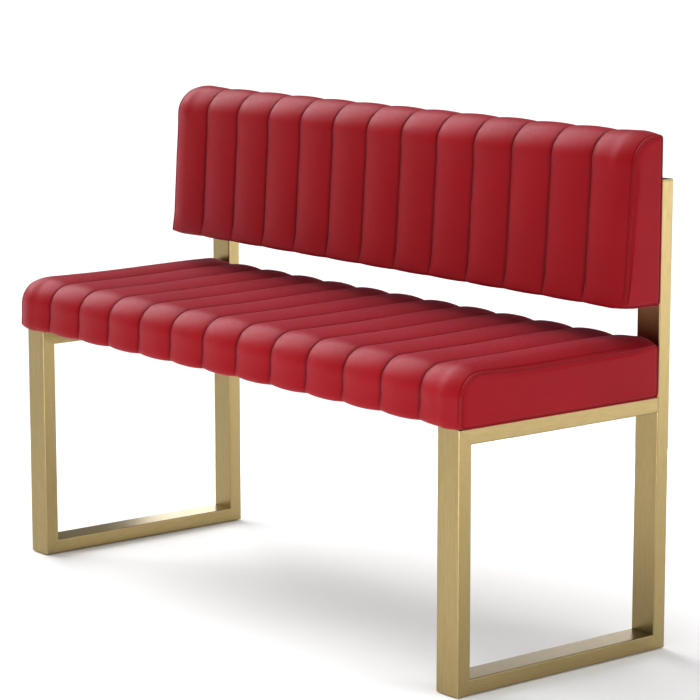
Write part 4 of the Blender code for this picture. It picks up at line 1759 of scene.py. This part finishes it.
@dataclass
class RearPanel:
    """The leather-wrapped panel that closes the backrest's rear."""

    shop: Workshop
    edge: float = 0.0011
    sharp_degrees: float = 50.0
    hole_radius: float = 0.0033
    drill_reach: float = 0.01

    def build(self) -> None:
        """Makes the panel with its soft edges and bolt holes."""
        low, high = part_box("back_rear_panel")
        work = bmesh.new()
        slab(work, low, high)
        bmesh.ops.bevel(work, geom=list(work.edges), offset=self.edge, segments=4, affect="EDGES",
                        profile=0.5)
        panel = self.shop.piece("rear_panel", worked("rear_panel", work), RedLeather())
        for place in BACK_PLACES:
            bolt = middle(place + "_bolt")
            centre = (bolt.x, (low.y + high.y) / 2, bolt.z)
            self.shop.bore(panel, centre, (0, 1, 0), self.hole_radius, self.drill_reach)
        self.shop.crisp(panel, self.sharp_degrees)
        self.shop.join(panel, "red_leather", ["back_rear_panel"])


@dataclass
class DustCover:
    """The thin cloth stretched and stapled under the seat, slightly slack between the rails."""

    shop: Workshop
    thickness: float = 0.0005
    slack: float = 0.0016
    slack_width: float = 0.028
    wrinkle: float = 0.00105
    wrinkles: int = 9
    waves_per_metre: tuple[float, float] = (9.0, 34.0)
    cell: float = 0.0075
    staple_spacing: float = 0.034
    staple_inset: float = 0.008
    staple_half_length: float = 0.005
    staple_radius: float = 0.0004
    hole_radius: float = 0.0033
    drill_reach: float = 0.006
    seed: int = 11

    def build(self) -> None:
        """Makes the cloth and its staples."""
        low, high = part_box("seat_dust_cover")
        dice = np.random.default_rng(self.seed)
        columns = int((high.x - low.x) / self.cell)
        rows = int((high.y - low.y) / self.cell)
        xs = np.linspace(low.x, high.x, columns + 1)
        ys = np.linspace(low.y, high.y, rows + 1)
        x, y = np.meshgrid(xs, ys, indexing="ij")
        free = self.distance_from_support(x, y, low, high)
        loose = 1 - np.exp(-((free / self.slack_width) ** 2))
        folds = np.zeros_like(x)
        for _ in range(self.wrinkles):
            turn = dice.uniform(0, math.pi)
            waves = dice.uniform(*self.waves_per_metre)
            start = dice.uniform(0, 6.3)
            folds += np.sin((x * math.cos(turn) + y * math.sin(turn)) * waves * 2 * math.pi + start)
        z = high.z - self.thickness - loose * (self.slack + self.wrinkle * folds / self.wrinkles)
        points = np.column_stack([x.ravel(), y.ravel(), z.ravel()])
        mesh = mesh_of("dust_cover", points, grid_faces(columns + 1, rows + 1))
        cloth = self.shop.piece("dust_cover", mesh, NonWoven())
        thick = cloth.modifiers.new("thickness", "SOLIDIFY")
        thick.thickness = self.thickness
        thick.offset = 1.0 if cloth.data.polygons[0].normal.z > 0 else -1.0
        self.shop.settle(cloth)
        for place in SEAT_PLACES:
            bolt = middle(place + "_bolt")
            self.shop.bore(cloth, (bolt.x, bolt.y, high.z), (0, 0, 1), self.hole_radius, self.drill_reach)
        cloth.data.shade_smooth()
        self.shop.join(cloth, "black_fabric", ["seat_dust_cover"])
        self.staples(low, high)

    @staticmethod
    def distance_from_support(x: np.ndarray, y: np.ndarray, low: Vector, high: Vector) -> np.ndarray:
        """Distance of each place from the nearest edge of the cloth or rail under it.

        Args:
            x: Places along the bench.
            y: Places across it.
            low: Low corner of the cloth.
            high: High corner of the cloth.

        Returns:
            The distances, 0 on the rails.
        """
        free = np.minimum(np.minimum(x - low.x, high.x - x), np.minimum(y - low.y, high.y - y))
        rails = [f"{side.word}_seat_rail" for side in Side] + [f"{end}_cross_rail" for end in ENDS]
        for rail in rails:
            first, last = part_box(rail)
            across = np.maximum(np.maximum(first.x - x, x - last.x), 0.0)
            along = np.maximum(np.maximum(first.y - y, y - last.y), 0.0)
            free = np.minimum(free, np.hypot(across, along))
        return free

    def staples(self, low: Vector, high: Vector) -> None:
        """Puts staples along the front and rear edges, between the side frames.

        Args:
            low: Low corner of the cloth.
            high: High corner of the cloth.
        """
        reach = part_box("right_seat_rail")[0].x - 2 * self.staple_inset
        z = high.z - self.thickness - self.staple_radius / 2
        rows = []
        for y in (low.y + self.staple_inset, high.y - self.staple_inset):
            rows.append(([(-reach, y, z), (reach, y, z)], False))
        half, radius = self.staple_half_length, self.staple_radius
        profile = [(0.0, -half), (radius * 0.7, -half + radius * 0.3), (radius, -half + radius),
                   (radius, half - radius), (radius * 0.7, half - radius * 0.3), (0.0, half)]
        CopiesNetwork(True).lay(
            self.shop, "staples", rows, turned("staple", profile, 8), ZINC_STEEL, "zinc_steel",
            Pitch=self.staple_spacing,
        )


# ------------------------------------------------------------------------------------------ light, camera


@dataclass(frozen=True)
class Sun:
    """A far, soft light.

    Attributes:
        name: The lamp's name.
        towards: Direction from the bench to the lamp.
        energy: Its strength.
        degrees: How wide it looks, which softens its shadows.
    """

    name: str
    towards: Point
    energy: float
    degrees: float

    def hang(self) -> None:
        """Puts the lamp in the scene."""
        light = bpy.data.lights.new(self.name, "SUN")
        light.energy = self.energy
        light.angle = math.radians(self.degrees)
        lamp = put_in_scene(self.name, light)
        lamp.rotation_euler = Vector(self.towards).to_track_quat("Z", "Y").to_euler()


@dataclass(frozen=True)
class Panel:
    """A rectangular soft lamp.

    Attributes:
        name: The lamp's name.
        place: Where it stands.
        target: What it points at.
        size: Its width and height.
        power: Its power in watts.
    """

    name: str
    place: Point
    target: Point
    size: tuple[float, float]
    power: float

    def hang(self) -> None:
        """Puts the lamp in the scene."""
        light = bpy.data.lights.new(self.name, "AREA")
        light.shape = "RECTANGLE"
        light.size, light.size_y = self.size
        light.energy = self.power
        lamp = put_in_scene(self.name, light)
        lamp.location = self.place
        aim = Vector(self.target) - Vector(self.place)
        lamp.rotation_euler = aim.to_track_quat("-Z", "Y").to_euler()
        lamp.visible_camera = False


LAMPS = (
    Sun("overhead", towards=(-0.1, -0.35, 1.0), energy=0.88, degrees=70.0),
    Sun("left key", towards=(-0.80, -0.08, 0.62), energy=2.95, degrees=50.0),
    Sun("right soft", towards=(0.90, 0.25, 0.45), energy=1.1, degrees=40.0),
    Panel("right fill", place=(2.8, 2.0, 0.45), target=(0.0, 0.0, 0.35), size=(1.8, 1.2), power=15.0),
    Panel("edge light", place=(1.9, -1.7, 0.12), target=(0.58, -0.2, 0.25), size=(0.6, 0.2), power=7.0),
    Panel("front low", place=(0.35, -1.5, 0.25), target=(0.1, 0.0, 0.40), size=(1.1, 0.3), power=7.0),
    Panel("rear low", place=(-0.5, 1.3, 0.24), target=(0.3, 0.0, 0.10), size=(2.4, 0.36), power=10.0),
)


@dataclass
class Studio:
    """A plain pale floor, soft light and the camera."""

    floor_size: float = 160.0
    floor_finish: Speckled = PALE_FLOOR
    horizon: float = 0.03
    zenith: float = 0.48
    falloff: float = 1.4
    lens: float = 142.02
    camera_place: Point = (3.5939, -2.8618, 1.2364)
    camera_pitch: float = 9.964
    camera_heading: float = 50.962

    def build(self) -> None:
        """Makes everything round the bench."""
        bpy.context.scene.view_settings.view_transform = "Standard"
        self.floor()
        self.sky()
        for lamp in LAMPS:
            lamp.hang()
        self.camera()

    def floor(self) -> None:
        """Makes the floor."""
        half = self.floor_size / 2
        mesh = bpy.data.meshes.new("floor")
        mesh.from_pydata([(-half, -half, 0), (half, -half, 0), (half, half, 0), (-half, half, 0)], [],
                         [(0, 1, 2, 3)])
        mesh.materials.append(self.floor_finish.make())
        floor = put_in_scene("floor", mesh)

    def sky(self) -> None:
        """Makes a surround that lights the bench from above more than from the horizon."""
        world = bpy.data.worlds.new("surround")
        world.use_nodes = True
        wires = Wiring(world.node_tree, "ShaderNode")
        background = wires.tree.nodes["Background"]
        background.inputs["Color"].default_value = (1.0, 1.0, 1.0, 1.0)
        heading = wires.node("TexCoord").outputs["Generated"]
        rise = wires.node("SeparateXYZ", {0: heading}).outputs["Z"]
        steep = wires.node("Math", {0: rise, 1: self.falloff}, operation="POWER", use_clamp=True).outputs[0]
        ends = {"Value": steep, 1: 0.0, 2: 1.0, 3: self.horizon, 4: self.zenith}
        lit = wires.node("MapRange", ends).outputs["Result"]
        seen = wires.node("LightPath").outputs["Is Camera Ray"]
        strength = wires.node("Mix", {"Factor": seen, "A": lit, "B": 1.0}).outputs["Result"]
        wires.tree.links.new(strength, background.inputs["Strength"])
        bpy.context.scene.world = world

    def camera(self) -> None:
        """Makes the camera."""
        data = bpy.data.cameras.new("camera")
        data.lens = self.lens
        data.clip_end = 500.0
        camera = put_in_scene("camera", data)
        camera.location = self.camera_place
        camera.rotation_euler = (math.radians(90 - self.camera_pitch), 0.0, math.radians(self.camera_heading))
        bpy.context.scene.camera = camera


# ------------------------------------------------------------------------------------------------- the bench


def seat_cushion(shop: Workshop) -> ChannelCushion:
    """The seat cushion, with its sizes worked out from the frame.

    Args:
        shop: The workshop.

    Returns:
        The cushion, ready to build.
    """
    low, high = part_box("seat_cover")
    leg_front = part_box("left_front_leg")[0].y
    stations = [
        Station(low.y, low.z, 0.009, 0.0018, 0.0048, 0.0025),
        Station(leg_front + 0.003, low.z, 0.0, 0.0012, 0.0, 0.0),
        Station(low.y + 0.030, low.z, 0.0, 0.0, 0.0, 0.0),
        Station(high.y - 0.020, low.z, 0.0, 0.0, 0.0, 0.0),
        Station(high.y, low.z, 0.006, 0.0025, 0.0005, 0.002),
        Station(high.y, high.z, 0.013, 0.0005, 0.0065, 0.0030),
        Station(high.y - 0.060, high.z, 0.0, 0.0000, 0.0075, 0.0060),
        Station(low.y + 0.130, high.z, 0.0, 0.0040, 0.0045, 0.0080),
        Station(low.y, high.z, 0.046, 0.0045, 0.0042, 0.0045),
        Station(low.y, low.z + 0.030, 0.0, 0.0050, 0.0030, 0.0040),
    ]
    return ChannelCushion(
        shop, "seat_cushion", ("seat_cover", "seat_foam"), stations, (43, 13), high.x,
        dull_from=high.y - 0.20, dull_to=high.y - 0.02,
    )


def back_cushion(shop: Workshop) -> ChannelCushion:
    """The back cushion, with its sizes worked out from the frame.

    Args:
        shop: The workshop.

    Returns:
        The cushion, ready to build.
    """
    low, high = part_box("back_cover")
    rake = math.radians(3.2)
    top_front = low.y + (high.z - low.z) * math.tan(rake)
    rear_flat = 0.007
    stations = [
        Station(low.y, low.z, 0.006, 0.0016, 0.0002, 0.0030),
        Station(low.y + 0.030, low.z, 0.0, 0.0008, 0.0005, 0.0010),
        Station(high.y - 0.015, low.z, 0.0, 0.0010, 0.0, 0.0010),
        Station(high.y, low.z, 0.006, 0.0010, 0.0, 0.0010),
        Station(high.y, low.z + rear_flat, 0.0, 0.0, 0.0, 0.0),
        Station(high.y, high.z - rear_flat, 0.0, 0.0, 0.0, 0.0),
        Station(high.y, high.z, 0.007, 0.0012, 0.0020, 0.0020),
        Station(high.y - 0.016, high.z, 0.0, 0.0013, 0.0032, 0.0035),
        Station(top_front, high.z, 0.052, 0.0045, 0.0030, 0.0058),
        Station(top_front - 0.080 * math.tan(rake), high.z - 0.080, 0.0, 0.0072, 0.0002, 0.0074),
        Station(top_front - 0.130 * math.tan(rake), high.z - 0.130, 0.0, 0.0066, 0.0014, 0.0066),
        Station(low.y + 0.040 * math.tan(rake), low.z + 0.040, 0.0, 0.0062, 0.0015, 0.0062),
    ]
    return ChannelCushion(shop, "back_cushion", ("back_cover", "back_foam"), stations, (16, 36), high.x)


def main() -> None:
    """Builds the bench's looks in order."""
    logging.basicConfig(level=logging.INFO, format="%(name)s: %(message)s")
    shop = Workshop()
    TubeFrame(shop).build()
    WeldBeads(shop).build()
    Fasteners(shop).build()
    seat_cushion(shop).build()
    back_cushion(shop).build()
    RearPanel(shop).build()
    DustCover(shop).build()
    shop.dress("seat_board", Plywood(Grain.ALONG_Z))
    shop.dress("back_board", Plywood(Grain.ALONG_Y))
    Studio().build()


if __name__ == "__main__":
    main()
